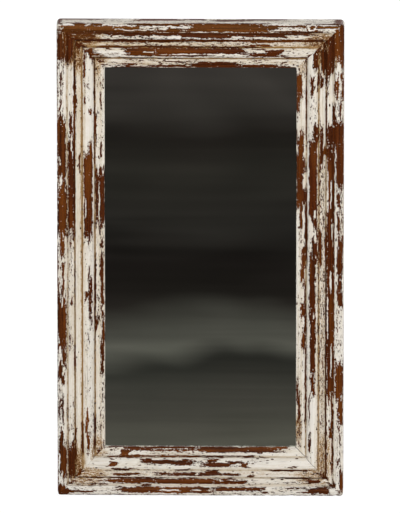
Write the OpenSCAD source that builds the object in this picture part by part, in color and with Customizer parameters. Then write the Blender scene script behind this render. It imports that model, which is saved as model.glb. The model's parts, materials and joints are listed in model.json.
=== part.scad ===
// Hanging mirror in a mitred, moulded wooden frame.
// Front faces -Y, the wall is at +Y, +Z is up. The origin is the centre of the back.

/* [Frame] */
// Overall width of the frame
frame_w = 450; // [360:5:600]
// Overall height of the frame
frame_h = 760; // [600:5:1000]
// Front to back thickness of the frame at its outer bead
frame_t = 38; // [36:0.5:48]
// Radius of the four worn outer corners, seen from the front
corner_r = 4; // [1:0.5:8]

/* [Moulding section] */
// Width of the outer bead
outer_bead_w = 15.5; // [12:0.5:18]
// How far the outer bead's crown stands over its edges
outer_bead_rise = 3; // [1:0.25:5]
// Width of the quirk inside the outer bead
outer_quirk_w = 2; // [1:0.25:3]
// Depth of that quirk behind the front
outer_quirk_d = 9; // [7:0.25:10]
// Width of the second, narrow bead
narrow_bead_w = 10; // [8:0.5:12]
// How far the narrow bead lies behind the front
narrow_bead_d = 4.5; // [3:0.25:6]
// How far the narrow bead's crown stands over its edges
narrow_bead_rise = 1.5; // [0.5:0.25:3]
// Width of the fine quirks on both sides of the cove
fine_quirk_w = 1.3; // [0.8:0.1:2]
// Depth of the fine quirks behind the front
fine_quirk_d = 13; // [12:0.25:15]
// Width of the hollow cove
cove_w = 10.2; // [8:0.2:12]
// How far the cove's outer edge lies behind the front
cove_d = 7; // [6:0.25:8]
// Radius of the cove
cove_r = 8.5; // [7.5:0.25:10]
// How far the cove's floor lies under its outer edge
cove_sink = 3; // [2:0.25:4]
// Distance of the cove's floor from the fine quirk inside it
cove_floor = 3; // [2:0.25:4]
// Width of the broad bead
broad_bead_w = 18.3; // [16:0.1:20]
// Radius of the broad bead
broad_bead_r = 14; // [13.5:0.25:16]
// How far the broad bead's crown lies behind the front
broad_bead_d = 9; // [8:0.25:11]
// Distance from the broad bead's outer edge to its crown
broad_bead_crown = 5.3; // [5:0.1:6]
// Width of the deep quirk beside the lip
lip_quirk_w = 1.6; // [1:0.1:2.4]
// Depth of that quirk behind the front
lip_quirk_d = 23.5; // [22:0.25:24]
// Width of the lip that overlaps the mirror
lip_w = 14.8; // [13:0.2:17]
// How far the lip's crown lies behind the front
lip_d = 19; // [18:0.25:20]
// Radius of the lip's gently crowned face
lip_face_r = 24; // [20:1:40]
// Radius of the lip's rounded sight edge
lip_nose_r = 2.5; // [1.5:0.25:3]

/* [Mirror and back] */
// Thickness of the mirror glass
pane_t = 4; // [3:1:6]
// How far the glass laps behind the lip
pane_lap = 8; // [6:0.5:9]
// Gap between the glass edge and its rebate, filled by the pads
pane_gap = 2; // [1:0.25:3]
// Thickness of the packing sheet behind the glass
packing_t = 3; // [2:0.5:4]
// Thickness of the plywood backing board
board_t = 5; // [4:0.5:6]
// How far the backing board laps past the glass rebate
board_lap = 10; // [9:0.5:12]
// Gap around the backing board
board_gap = 0.5; // [0.25:0.25:1]
// Length of each cork pad
pad_len = 40; // [20:5:60]
// Distance of the pads from the middle, as seen along each edge
pad_spread = 95; // [60:5:110]

/* [Dowels] */
// Diameter of the beech dowels across each mitre
dowel_dia = 8; // [6:1:10]
// Length of each dowel
dowel_len = 30; // [20:1:34]
// Distance of the outer dowel from the frame's outer edges
outer_dowel_u = 20; // [19:0.5:22]
// Distance between the two dowels of a mitre, measured the same way
dowel_step = 22; // [16:0.5:24]
// Height of the dowels over the frame's back
dowel_h = 13.5; // [12:0.25:15]
// Radial clearance of a dowel in its hole
dowel_clear = 0.05; // [0.02:0.01:0.1]
// Glue space at each end of a dowel
dowel_end_gap = 1; // [0.5:0.25:2]

/* [Screws] */
// Shank diameter of the backing board screws
board_screw_dia = 3; // [2.5:0.1:3.5]
// Length of the backing board screws
board_screw_len = 11; // [9:0.5:12]
// Diameter of their countersunk heads
board_screw_head = 6; // [5:0.25:7]
// Largest distance between two backing board screws
board_screw_pitch = 155; // [100:5:250]
// Shank diameter of the hanger screws
hanger_screw_dia = 3.5; // [3:0.1:4]
// Length of the hanger screws under their heads
hanger_screw_len = 16; // [12:1:18]
// Diameter of their pan heads
hanger_screw_head = 7; // [6:0.25:8]
// Height of their pan heads
hanger_head_h = 2; // [1.5:0.25:2.5]
// Distance of the outermost backing board screws from the ends of their rows
board_screw_inset = 30; // [20:5:45]
// Width of the cross recess in every screw head
recess_w = 0.9; // [0.6:0.1:1.2]
// Radial clearance of a shank in its hole
shank_clear = 0.05; // [0.02:0.01:0.1]
// How far the countersunk heads sit under the board's face
screw_sink = 0.2; // [0.1:0.05:0.4]
// Gap between a countersunk head and its seat
seat_clear = 0.05; // [0.02:0.01:0.1]

/* [Hangers] */
// Distance of the hangers from the frame's outer side edges
hanger_u = 30; // [24:1:40]
// Height of the ring's axis over the middle of the frame
hanger_z = 190; // [100:5:260]
// Width of the folded steel strap
strap_w = 12; // [10:0.5:14]
// Thickness of the sheet that is folded double
strap_sheet = 1; // [0.8:0.1:1.5]
// Length of the strap from the ring's axis to its round end
strap_len = 47; // [42:1:60]
// Length of the neck that rises from the flat strap to the eye
neck_len = 8; // [6:0.5:9]
// Distance from the ring's axis to the first screw
first_screw = 29; // [28:0.5:32]
// Distance between the two screws of a hanger
screw_step = 11; // [9:0.5:12]
// Wire diameter of the ring
ring_wire = 3; // [2.5:0.1:3.5]
// Width of the ring between the middles of its arms
ring_w = 20; // [19:0.5:24]
// Height of the ring between the middles of its bar and its bow
ring_h = 22; // [20:0.5:24]
// Radius of the ring's two bends, at the middle of the wire
ring_bend = 3; // [2.5:0.25:3.5]
// Radial clearance of the ring's bar in the eye
eye_clear = 0.08; // [0.03:0.01:0.1]
// Height of the ring's axis over the frame's back
eye_h = 3.8; // [3.8:0.1:5]

/* [Wall bumpers] */
// Diameter of the rubber bumpers at the bottom corners
bumper_dia = 20; // [12:1:28]
// How far the bumpers stand out, level with the hangers' eyes
bumper_t = 6.5; // [6:0.25:9]
// Distance of the bumpers from the frame's outer edges
bumper_u = 30; // [22:1:40]
// How far the rim of a bumper is cut back at its face
bumper_taper = 1.5; // [0.5:0.25:3]

/* [Hidden] */
$fn = 64;
// Overlap that carries a cut past the face it starts from
eps = 1;
// Overlap that joins two turned lengths of one screw
join = 0.01;
// Share of its radius at which a rounded arris meets its flats, a soft edge and not a tangent
arris = 0.95;
// Radial clearance of a screw shank in the board and the strap, which it passes freely
pass_clear = 0.2;
// Place of the lip's crown, as a share of the lip's width
lip_crown = 0.25;
// Length and depth of a cross recess, as shares of the head's width and height
recess_span = 0.6;
recess_depth = 0.7;
// Radius of a pan head's dome, as a share of the head's width
dome_share = 0.9;
// Radius of a screw's tip, as a share of its shank's diameter
tip_share = 0.1;
// Straight foot of a bumper, as a share of its thickness
foot_share = 0.6;
// Places across the moulding, from its outer edge towards the mirror
u_quirk_a = outer_bead_w;
u_narrow = u_quirk_a + outer_quirk_w;
u_quirk_b = u_narrow + narrow_bead_w;
u_cove = u_quirk_b + fine_quirk_w;
u_quirk_c = u_cove + cove_w;
u_broad = u_quirk_c + fine_quirk_w;
u_quirk_d = u_broad + broad_bead_w;
u_lip = u_quirk_d + lip_quirk_w;
moulding_w = u_lip + lip_w;
// Sight opening and the sheets behind it
sight_w = frame_w - 2 * moulding_w;
sight_h = frame_h - 2 * moulding_w;
pane_w = sight_w + 2 * pane_lap;
pane_h = sight_h + 2 * pane_lap;
rebate_w = pane_lap + pane_gap;
u_rebate = moulding_w - rebate_w;
u_board = u_rebate - board_lap;
pane_back_h = board_t + packing_t;
pane_front_h = pane_back_h + pane_t;
board_w = frame_w - 2 * (u_board + board_gap);
board_h = frame_h - 2 * (u_board + board_gap);
// Screws run along the middle of the ledge between the two rebates
u_screw = u_board + board_lap / 2;
screw_span_w = frame_w - 2 * u_screw;
screw_span_h = frame_h - 2 * u_screw;
// Hanger and ring
strap_t = 2 * strap_sheet;
eye_r = ring_wire / 2 + eye_clear;
bow_r = ring_w / 2;
arm_len = ring_h - bow_r - ring_bend;
hanger_x = frame_w / 2 - hanger_u;

// A crowned strip: flat sides, and a round top that rises by rise over its edges
module crowned_strip(u, w, top, rise) {
    r = (w * w / 4 + rise * rise) / (2 * rise);
    intersection() {
        translate([u, 0]) square([w, top + eps]);
        union() {
            translate([u + w / 2, top - r]) circle(r, $fn = 128);
            translate([u - eps, 0]) square([w + 2 * eps, top - r]);
        }
    }
}

// A strip cut hollow by the cove
module cove_strip() {
    top = frame_t - cove_d;
    difference() {
        translate([u_cove, 0]) square([cove_w, top]);
        translate([u_quirk_c - cove_floor, top - cove_sink + cove_r]) circle(cove_r, $fn = 128);
    }
}

// The broad bead, round over its whole width and lowest beside the lip
module broad_strip() {
    centre_u = u_broad + broad_bead_crown;
    centre_h = frame_t - broad_bead_d - broad_bead_r;
    intersection() {
        translate([u_broad, 0]) square([broad_bead_w, frame_t]);
        union() {
            translate([centre_u, centre_h]) circle(broad_bead_r, $fn = 128);
            translate([u_broad - eps, 0]) square([broad_bead_w + 2 * eps, centre_h]);
        }
    }
}

// The lip: a gently crowned face that ends in a rounded sight edge
module lip_strip() {
    crown_u = u_lip + lip_w * lip_crown;
    centre_h = frame_t - lip_d - lip_face_r;
    nose_u = moulding_w - arris * lip_nose_r;
    reach = nose_u - crown_u;
    nose_h = centre_h + sqrt(lip_face_r * lip_face_r - reach * reach) - arris * lip_nose_r;
    intersection() {
        translate([u_lip, 0]) square([lip_w, frame_t]);
        translate([crown_u, centre_h]) circle(lip_face_r, $fn = 128);
        union() {
            translate([u_lip - eps, 0]) square([nose_u - u_lip + eps, frame_t]);
            translate([u_lip, 0]) square([lip_w + eps, nose_h]);
            translate([nose_u, nose_h]) circle(lip_nose_r);
        }
    }
}

// Full section of the moulding: across is the distance from the outer edge, up is towards the front
module moulding_section() {
    difference() {
        union() {
            crowned_strip(0, outer_bead_w, frame_t, outer_bead_rise);
            crowned_strip(u_narrow, narrow_bead_w, frame_t - narrow_bead_d, narrow_bead_rise);
            cove_strip();
            broad_strip();
            lip_strip();
            translate([u_quirk_a - eps, 0]) square([outer_quirk_w + 2 * eps, frame_t - outer_quirk_d]);
            translate([u_quirk_b - eps, 0]) square([fine_quirk_w + 2 * eps, frame_t - fine_quirk_d]);
            translate([u_quirk_c - eps, 0]) square([fine_quirk_w + 2 * eps, frame_t - fine_quirk_d]);
            translate([u_quirk_d - eps, 0]) square([lip_quirk_w + 2 * eps, frame_t - lip_quirk_d]);
        }
        translate([u_rebate, -eps]) square([rebate_w + eps, pane_front_h + eps]);
        translate([u_board, -eps]) square([moulding_w, board_t + eps]);
    }
}

// Plan of one member, seen from the front: 45 degree mitres and rounded outer corners
module member_plan(len, edge) {
    far = moulding_w + eps;
    difference() {
        polygon([
            [-len / 2 - eps, edge + eps],
            [len / 2 + eps, edge + eps],
            [len / 2 - far, edge - far],
            [-len / 2 + far, edge - far]
        ]);
        for (side = [-1, 1])
            translate([side * (len / 2 - arris * corner_r), edge - arris * corner_r])
                mirror([side < 0 ? 1 : 0, 0])
                    difference() {
                        square(corner_r + 2 * eps);
                        circle(corner_r);
                    }
    }
}

// The two dowels of the mitre at one end of a member, side is -1 or 1
module dowel_pair(len, edge, side, r, l) {
    for (i = [0, 1]) {
        u = outer_dowel_u + i * dowel_step;
        translate([side * (len / 2 - u), -dowel_h, edge - u])
            rotate([0, side * 45, 0])
                translate([0, 0, -l / 2]) cylinder(h = l, r = r);
    }
}

// Pilot holes of the backing screws in one member
module board_pilots(span, edge) {
    for (x = screw_places(span))
        translate([x, 0, edge - u_screw])
            rotate([90, 0, 0])
                translate([0, 0, board_t - eps])
                    cylinder(h = board_screw_len - board_t + 2 * eps, r = board_screw_dia / 2 + shank_clear);
}

// Even places for screws along a span, with one near each end
function screw_places(span) =
    let (run = span - 2 * board_screw_inset, n = ceil(run / board_screw_pitch))
    [for (i = [0 : n]) -run / 2 + i * run / n];

// One mitred member lying as the top rail lies, its outer edge at z = edge
module member(len, edge, span) {
    difference() {
        intersection() {
            translate([len / 2 + 2 * eps, 0, edge])
                rotate([90, 90, -90])
                    linear_extrude(height = len + 4 * eps) moulding_section();
            translate([0, eps, 0])
                rotate([90, 0, 0])
                    linear_extrude(height = frame_t + 2 * eps) member_plan(len, edge);
        }
        for (side = [-1, 1])
            dowel_pair(len, edge, side, dowel_dia / 2 + dowel_clear, dowel_len + 2 * dowel_end_gap);
        board_pilots(span, edge);
    }
}

module rail() { member(frame_w, frame_h / 2, screw_span_w); }
module stile() { member(frame_h, frame_w / 2, screw_span_h); }

module top_rail() { color("antiquewhite") rail(); }
module bottom_rail() { color("antiquewhite") rotate([0, 180, 0]) rail(); }

// A stile also carries the pilot holes of its hanger, side is -1 on the left and 1 on the right
module side_stile(side) {
    difference() {
        rotate([0, side * 90, 0]) stile();
        hanger_screw_holes(side);
    }
}
module left_stile() { color("antiquewhite") side_stile(-1); }
module right_stile() { color("antiquewhite") side_stile(1); }

// Dowels of one corner: up is 1 at the top, side is 1 on the right
module corner_dowels(up, side) {
    color("burlywood")
        rotate([0, up > 0 ? 0 : 180, 0])
            dowel_pair(frame_w, frame_h / 2, up * side, dowel_dia / 2, dowel_len);
}
module top_left_dowels() { corner_dowels(1, -1); }
module top_right_dowels() { corner_dowels(1, 1); }
module bottom_left_dowels() { corner_dowels(-1, -1); }
module bottom_right_dowels() { corner_dowels(-1, 1); }

// A sheet centred on the frame, its back at height back over the frame's back
module sheet(w, t, h, back) {
    translate([-w / 2, -back - t, -h / 2]) cube([w, t, h]);
}

module mirror_pane() { color("lightslategray") sheet(pane_w, pane_t, pane_h, pane_back_h); }
module packing_sheet() { color("tan") sheet(pane_w, packing_t, pane_h, board_t); }

// Cork pads under the mirror, which carry its weight
module setting_pads() {
    color("peru")
        for (side = [-1, 1])
            translate([side * pad_spread - pad_len / 2, -pane_front_h, -pane_h / 2 - pane_gap])
                cube([pad_len, pane_t, pane_gap]);
}

// Cork spacers that centre the mirror between the stiles
module side_spacers() {
    color("peru")
        for (side = [-1, 1])
            for (up = [-1, 1])
                translate([side * (pane_w + pane_gap) / 2, -pane_front_h, up * 2 * pad_spread])
                    translate([-pane_gap / 2, 0, -pad_len / 2]) cube([pane_gap, pane_t, pad_len]);
}

// Calls its children at every backing screw, with z = 0 at the board's back and +Z into the frame
module at_board_screws() {
    for (x = screw_places(screw_span_w))
        for (side = [-1, 1])
            translate([x, 0, side * screw_span_h / 2]) rotate([90, 0, 0]) children();
    for (z = screw_places(screw_span_h))
        for (side = [-1, 1])
            translate([side * screw_span_w / 2, 0, z]) rotate([90, 0, 0]) children();
}

// Cross recess of a screw head, cut from z = 0 inwards
module cross_recess(span, depth) {
    for (turn = [0, 90])
        rotate([0, 0, turn])
            translate([-span / 2, -recess_w / 2, -eps]) cube([span, recess_w, depth + eps]);
}

// Point of a screw, half as long as its shank is thick
module screw_tip(dia) {
    cylinder(h = dia / 2, r1 = dia / 2, r2 = dia * tip_share);
}

// Countersunk screw, its head's face at the sink under z = 0
module board_screw() {
    head_h = (board_screw_head - board_screw_dia) / 2;
    translate([0, 0, screw_sink])
        difference() {
            union() {
                cylinder(h = head_h, r1 = board_screw_head / 2, r2 = board_screw_dia / 2);
                translate([0, 0, head_h - join])
                    cylinder(h = board_screw_len - head_h - board_screw_dia / 2, r = board_screw_dia / 2);
                translate([0, 0, board_screw_len - board_screw_dia / 2 - 2 * join])
                    screw_tip(board_screw_dia);
            }
            cross_recess(board_screw_head * recess_span, head_h * recess_depth);
        }
}

// Countersunk hole through the backing board, parallel to the screw's head all round
module board_hole() {
    mouth_r = board_screw_head / 2 + screw_sink + seat_clear + join;
    throat_r = board_screw_dia / 2;
    translate([0, 0, -eps]) cylinder(h = board_t + 2 * eps, r = throat_r + pass_clear);
    translate([0, 0, -join]) cylinder(h = mouth_r - throat_r, r1 = mouth_r, r2 = throat_r);
}

module backing_board() {
    color("wheat")
        difference() {
            sheet(board_w, board_t, board_h, 0);
            at_board_screws() board_hole();
        }
}
module backing_screws() { color("silver") at_board_screws() board_screw(); }

// Calls its children at both screws of a hanger, with z = 0 on the frame's back and +Z into the stile
module at_hanger_screws(side) {
    for (i = [0, 1])
        translate([side * hanger_x, 0, hanger_z - first_screw - i * screw_step])
            rotate([90, 0, 0]) children();
}

module hanger_screw_holes(side) {
    at_hanger_screws(side)
        translate([0, 0, -eps])
            cylinder(h = hanger_screw_len - strap_t + 2 * eps, r = hanger_screw_dia / 2 + shank_clear);
}

// Flat part of a folded strap, seen from behind: down is away from the ring's axis
module strap_plan() {
    difference() {
        union() {
            translate([-strap_w / 2, -strap_len + strap_w / 2])
                square([strap_w, strap_len - strap_w / 2 - neck_len]);
            translate([0, -strap_len + strap_w / 2]) circle(strap_w / 2);
        }
        for (i = [0, 1])
            translate([0, -first_screw - i * screw_step]) circle(hanger_screw_dia / 2 + pass_clear);
    }
}

// Side view of the neck and the eye, across is up from the frame's back, up is along the strap
module eye_side() {
    difference() {
        union() {
            translate([eye_h, 0]) circle(eye_r + strap_sheet);
            polygon([
                [0, -neck_len],
                [strap_t, -neck_len],
                [eye_h + strap_sheet, 0],
                [eye_h - strap_sheet, 0]
            ]);
        }
        translate([eye_h, 0]) circle(eye_r);
    }
}

module hanger_strap(side) {
    color("lightgray")
        translate([side * hanger_x, 0, hanger_z]) {
            translate([0, strap_t, 0])
                rotate([90, 0, 0]) linear_extrude(height = strap_t) strap_plan();
            rotate([90, 0, 90])
                linear_extrude(height = strap_w, center = true) eye_side();
        }
}
module left_hanger_strap() { hanger_strap(-1); }
module right_hanger_strap() { hanger_strap(1); }

// Ring drawn in the XZ plane, its bar on the hinge axis and its bow hanging down
module hanging_ring() {
    r = ring_wire / 2;
    bar = ring_w - 2 * ring_bend;
    translate([-bar / 2, 0, 0]) rotate([0, 90, 0]) cylinder(h = bar, r = r);
    for (side = [0, 1])
        mirror([side, 0, 0]) {
            translate([bar / 2, 0, -ring_bend])
                rotate([90, 0, 0])
                    rotate_extrude(angle = 90) translate([ring_bend, 0]) circle(r);
            translate([ring_w / 2, 0, -ring_bend - arm_len]) cylinder(h = arm_len, r = r);
        }
    translate([0, 0, -ring_bend - arm_len])
        rotate([-90, 0, 0])
            rotate_extrude(angle = 180) translate([bow_r, 0]) circle(r);
}

module hanger_ring(side) {
    color("gainsboro") translate([side * hanger_x, eye_h, hanger_z]) hanging_ring();
}
module left_hanger_ring() { hanger_ring(-1); }
module right_hanger_ring() { hanger_ring(1); }

// Pan head screw, its head on the strap's face
module hanger_screw() {
    dome_r = hanger_screw_head * dome_share;
    translate([0, 0, -strap_t])
        difference() {
            union() {
                intersection() {
                    translate([0, 0, -hanger_head_h]) cylinder(h = hanger_head_h, r = hanger_screw_head / 2);
                    translate([0, 0, dome_r - hanger_head_h]) sphere(dome_r);
                }
                translate([0, 0, -join])
                    cylinder(h = hanger_screw_len - hanger_screw_dia / 2 + join, r = hanger_screw_dia / 2);
                translate([0, 0, hanger_screw_len - hanger_screw_dia / 2 - join])
                    screw_tip(hanger_screw_dia);
            }
            translate([0, 0, -hanger_head_h])
                cross_recess(hanger_screw_head * recess_span, hanger_head_h * recess_depth);
        }
}
module left_hanger_screws() { color("silver") at_hanger_screws(-1) hanger_screw(); }
module right_hanger_screws() { color("silver") at_hanger_screws(1) hanger_screw(); }

// Soft bumper, its wider foot on the frame's back
module wall_bumper(side) {
    foot = bumper_t * foot_share;
    color("dimgray")
        translate([side * (frame_w / 2 - bumper_u), 0, bumper_u - frame_h / 2])
            rotate([-90, 0, 0]) {
                cylinder(h = foot, r = bumper_dia / 2);
                translate([0, 0, foot])
                    cylinder(h = bumper_t - foot, r1 = bumper_dia / 2, r2 = bumper_dia / 2 - bumper_taper);
            }
}
module left_wall_bumper() { wall_bumper(-1); }
module right_wall_bumper() { wall_bumper(1); }

top_rail();
bottom_rail();
left_stile();
right_stile();
top_left_dowels();
top_right_dowels();
bottom_left_dowels();
bottom_right_dowels();
mirror_pane();
setting_pads();
side_spacers();
packing_sheet();
backing_board();
backing_screws();
left_hanger_strap();
right_hanger_strap();
left_hanger_ring();
right_hanger_ring();
left_hanger_screws();
right_hanger_screws();
left_wall_bumper();
right_wall_bumper();
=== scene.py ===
# %% [markdown]
# This lesson dresses a wall mirror: four lengths of old moulding, mitred round a plain pane.
# The white paint has worn through to brown wood, and that wear is what the eye goes to first.
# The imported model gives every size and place. It is loaded once and never moved, and each new
# piece is made in the same frame, so nothing has to be fitted afterwards.

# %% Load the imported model
import json
import math
import random

import bmesh
import bpy
import numpy as np
from mathutils import Matrix, Vector, noise


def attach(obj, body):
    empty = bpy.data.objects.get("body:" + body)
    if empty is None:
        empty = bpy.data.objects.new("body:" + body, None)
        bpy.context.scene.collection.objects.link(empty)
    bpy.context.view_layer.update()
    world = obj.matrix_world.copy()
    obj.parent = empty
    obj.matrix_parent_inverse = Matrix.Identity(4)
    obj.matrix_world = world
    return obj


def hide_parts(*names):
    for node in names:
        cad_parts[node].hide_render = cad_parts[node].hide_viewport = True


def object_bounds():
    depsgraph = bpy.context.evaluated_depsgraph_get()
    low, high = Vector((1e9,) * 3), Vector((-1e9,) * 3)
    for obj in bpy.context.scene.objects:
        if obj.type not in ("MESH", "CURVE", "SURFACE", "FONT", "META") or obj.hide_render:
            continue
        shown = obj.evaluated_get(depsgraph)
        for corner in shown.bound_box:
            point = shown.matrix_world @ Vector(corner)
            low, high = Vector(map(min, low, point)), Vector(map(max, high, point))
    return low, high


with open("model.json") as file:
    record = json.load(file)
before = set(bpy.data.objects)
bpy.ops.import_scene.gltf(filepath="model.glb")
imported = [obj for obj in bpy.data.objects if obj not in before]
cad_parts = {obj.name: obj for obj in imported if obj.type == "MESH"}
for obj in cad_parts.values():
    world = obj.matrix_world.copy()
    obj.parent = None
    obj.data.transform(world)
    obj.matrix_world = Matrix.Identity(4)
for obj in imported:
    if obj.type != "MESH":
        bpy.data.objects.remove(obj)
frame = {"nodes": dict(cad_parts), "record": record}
nodes = frame["nodes"]
cad_low, cad_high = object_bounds()
scene = bpy.context.scene
scene.view_settings.view_transform = "Standard"
print("CAD box in mm", [round(1000 * c) for c in cad_high - cad_low])

# %% [markdown]
# The photograph looks a little down on the mirror from almost straight in front: a thin strip of
# the top edge shows, and the opening sits slightly high. The sides lean together by hardly two
# pixels, which means a long lens far away. So the camera stands twenty metres off, and its lens
# gives the photograph's pixels per metre.

# %% Camera
VIEW_TURN = math.radians(1)
VIEW_RISE = math.radians(13)
VIEW_FAR = 20.0
PICTURE_WIDE_PX = 400
PICTURE_HIGH_PX = 513
MIRROR_MIDDLE_PX = (200.5, 257.8)
PX_PER_METRE = 637
SENSOR_MM = 36.0

towards_camera = Vector((
    math.sin(VIEW_TURN) * math.cos(VIEW_RISE),
    -math.cos(VIEW_TURN) * math.cos(VIEW_RISE),
    math.sin(VIEW_RISE),
))
camera_turn = (-towards_camera).to_track_quat("-Z", "Y")
aside = (MIRROR_MIDDLE_PX[0] - PICTURE_WIDE_PX / 2) / PX_PER_METRE
below = (MIRROR_MIDDLE_PX[1] - PICTURE_HIGH_PX / 2) / PX_PER_METRE
aim = (cad_low + cad_high) / 2 + camera_turn @ Vector((-aside, below, 0))
lens = bpy.data.cameras.new("camera")
lens.sensor_width = SENSOR_MM
lens.lens = PX_PER_METRE * VIEW_FAR * SENSOR_MM / PICTURE_HIGH_PX
camera = bpy.data.objects.new("camera", lens)
scene.collection.objects.link(camera)
camera.location = aim + towards_camera * VIEW_FAR
camera.rotation_euler = camera_turn.to_euler()
scene.camera = camera
print("lens in mm", round(lens.lens))

# %% [markdown]
# Every finish below is a node tree, so a few small helpers keep the cells short. They add a node
# and feed its inputs, do sums, stretch a value from one range to another, and lay one colour over
# another. Colours are written as they are seen on a screen, from 0 to 255, and turned into the
# linear values that the shader wants.

# %% Helpers for node trees
MM = 0.001


def seen(red, green, blue):
    """Linear colour of a screen colour."""
    shares = [c / 255 for c in (red, green, blue)]
    return [s / 12.92 if s <= 0.04045 else ((s + 0.055) / 1.055) ** 2.4 for s in shares] + [1.0]


def put(tree, kind, inputs=(), **settings):
    """Adds a node. An input takes a plain value or the socket that feeds it."""
    node = tree.nodes.new(kind)
    for name, value in settings.items():
        setattr(node, name, value)
    for name, value in dict(inputs).items():
        if isinstance(value, bpy.types.NodeSocket):
            tree.links.new(value, node.inputs[name])
        else:
            node.inputs[name].default_value = value
    return node


def calc(tree, operation, first, second=0.0, third=0.0):
    """One sum on numbers that change over the surface."""
    return put(tree, "ShaderNodeMath", {0: first, 1: second, 2: third}, operation=operation).outputs[0]


def rest_of(tree, share):
    """What a share leaves of 1."""
    return calc(tree, "SUBTRACT", 1.0, share)


def add_shares(tree, total, *parts):
    """Adds to a total: each part is a value and how much of it is added."""
    for value, share in parts:
        total = calc(tree, "MULTIPLY_ADD", value, share, total)
    return total


def spread(tree, value, low, high, to_low=0.0, to_high=1.0, smooth=False):
    """Stretches a value from one range to another and stops at its ends."""
    kind = "SMOOTHSTEP" if smooth else "LINEAR"
    inputs = {0: value, 1: low, 2: high, 3: to_low, 4: to_high}
    return put(tree, "ShaderNodeMapRange", inputs, interpolation_type=kind).outputs[0]


def stretched(tree, place, amounts):
    """A place with each of its three numbers multiplied by its own amount."""
    return put(tree, "ShaderNodeVectorMath", {0: place, 1: amounts}, operation="MULTIPLY").outputs[0]


def blend_colours(tree, share, first, second):
    """Goes from the first colour to the second as share goes from 0 to 1."""
    inputs = {0: share, 6: first, 7: second}
    return put(tree, "ShaderNodeMix", inputs, data_type="RGBA").outputs[2]


def lay_coats(tree, ground, coats):
    """Lays colours over a ground. Each goes on as its value runs from one end of its range."""
    for value, reach, shares, coat in coats:
        ground = blend_colours(tree, spread(tree, value, *reach, *shares), ground, coat)
    return ground


print("half way to white on the screen is", round(seen(128, 128, 128)[0], 3), "of its light")

# %% [markdown]
# A look that several materials share is made once, as a node group: an effect with named inputs and
# outputs. It could also be copied into each material, but then every correction would have to be
# made several times. An effect gives out only colours, masks and heights. The shader itself stays
# in the material.

# %% Helpers for effects and materials
def start_group(name, inputs, outputs):
    """An effect with named sockets, to be placed in several materials."""
    group = bpy.data.node_groups.new(name, "ShaderNodeTree")
    for label, kind in inputs:
        group.interface.new_socket(label, in_out="INPUT", socket_type="NodeSocket" + kind)
    for label, kind in outputs:
        group.interface.new_socket(label, in_out="OUTPUT", socket_type="NodeSocket" + kind)
    return group, group.nodes.new("NodeGroupInput").outputs, group.nodes.new("NodeGroupOutput")


def give_out(tree, result, **values):
    """Connects what an effect has worked out to its named outputs."""
    for name, value in values.items():
        tree.links.new(value, result.inputs[name])
    print(tree.name, "has", len(tree.nodes), "nodes")


def place_group(tree, group, inputs):
    """Places an effect in a material or in another effect."""
    return put(tree, "ShaderNodeGroup", inputs, node_tree=group).outputs


def start_material(name):
    """A material with its shader, ready for colours and bumps."""
    material = bpy.data.materials.new(name)
    material.use_nodes = True
    tree = material.node_tree
    return material, tree, tree.nodes["Principled BSDF"]


def bump(tree, shader, height, depth):
    """Raises the surface by up to depth metres where height is 1."""
    made = put(tree, "ShaderNodeBump", {"Height": height, "Distance": depth, "Strength": 1.0})
    tree.links.new(made.outputs["Normal"], shader.inputs["Normal"])


print("effects so far", len(bpy.data.node_groups))

# %% [markdown]
# Wood, brushed paint and worn edges all run along a board. One effect serves them all: a noise that
# is drawn out along the board and fine across it. It could read Object coordinates, but the rails lie
# and the stiles stand, so each member carries its own place: metres along it, metres round its
# moulding, and a number of its own that makes it differ from the others.

# %% Streaks that run along the wood
CLOUD_ROUGHNESS = 0.6
CLOUD_RANGE = (0.28, 0.72)

streaks, given, result = start_group(
    "streaks",
    [("Place", "Vector"), ("Along", "Float"), ("Across", "Float"), ("Detail", "Float")],
    [("Value", "Float")],
)
fineness = put(streaks, "ShaderNodeCombineXYZ", {0: given["Along"], 1: given["Across"], 2: 1.0})
drawn_out = stretched(streaks, given["Place"], fineness.outputs[0])
cloud = put(
    streaks,
    "ShaderNodeTexNoise",
    {"Vector": drawn_out, "Scale": 1.0, "Detail": given["Detail"], "Roughness": CLOUD_ROUGHNESS},
)
give_out(streaks, result, Value=spread(streaks, cloud.outputs[0], *CLOUD_RANGE, -1.0, 1.0))


def streak(tree, place, along, across, detail=2.0):
    """Noise from -1 to 1 with this many features per metre along the wood and across it."""
    inputs = {"Place": place, "Along": along, "Across": across, "Detail": detail}
    return place_group(tree, streaks, inputs)["Value"]

# %% [markdown]
# Paint doesn't fade where it wears, it breaks off in flakes with crisp, ragged edges. So the wear
# is a height map cut at one level. A slow map, stored on the member, says where a hand, a cloth or
# damp has taken the paint. Three sizes of streaks are added to it, which frays its edges along the
# grain, and whatever comes out above zero is bare.

# %% Where the paint has gone
worn_paint, given, result = start_group(
    "worn_paint",
    [("Place", "Vector"), ("Worn", "Float")],
    [("Bare", "Float"), ("Film", "Float"), ("Halo", "Float"), ("Rim", "Float"), ("Crack", "Float")],
)
place = given["Place"]
long_fray = streak(worn_paint, place, 30, 260, 3.0)
short_fray = streak(worn_paint, place, 130, 480, 3.0)
fine_fray = streak(worn_paint, place, 330, 640, 2.0)
frays = [(long_fray, 0.34), (short_fray, 0.56), (fine_fray, 0.46)]
level = add_shares(worn_paint, given["Worn"], *frays)
print("wear is frayed by up to", round(sum(share for _, share in frays), 2))

# %% [markdown]
# Two crowds of small cells break it up further. Round pits are knocked into the paint that is left,
# and crumbs of paint still cling to the bare wood, most of them near the broken edge. Every cell
# draws a number, and only those that draw a high one show. That is cheaper than modelling thousands
# of specks, and each one still has a size of its own.

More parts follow.
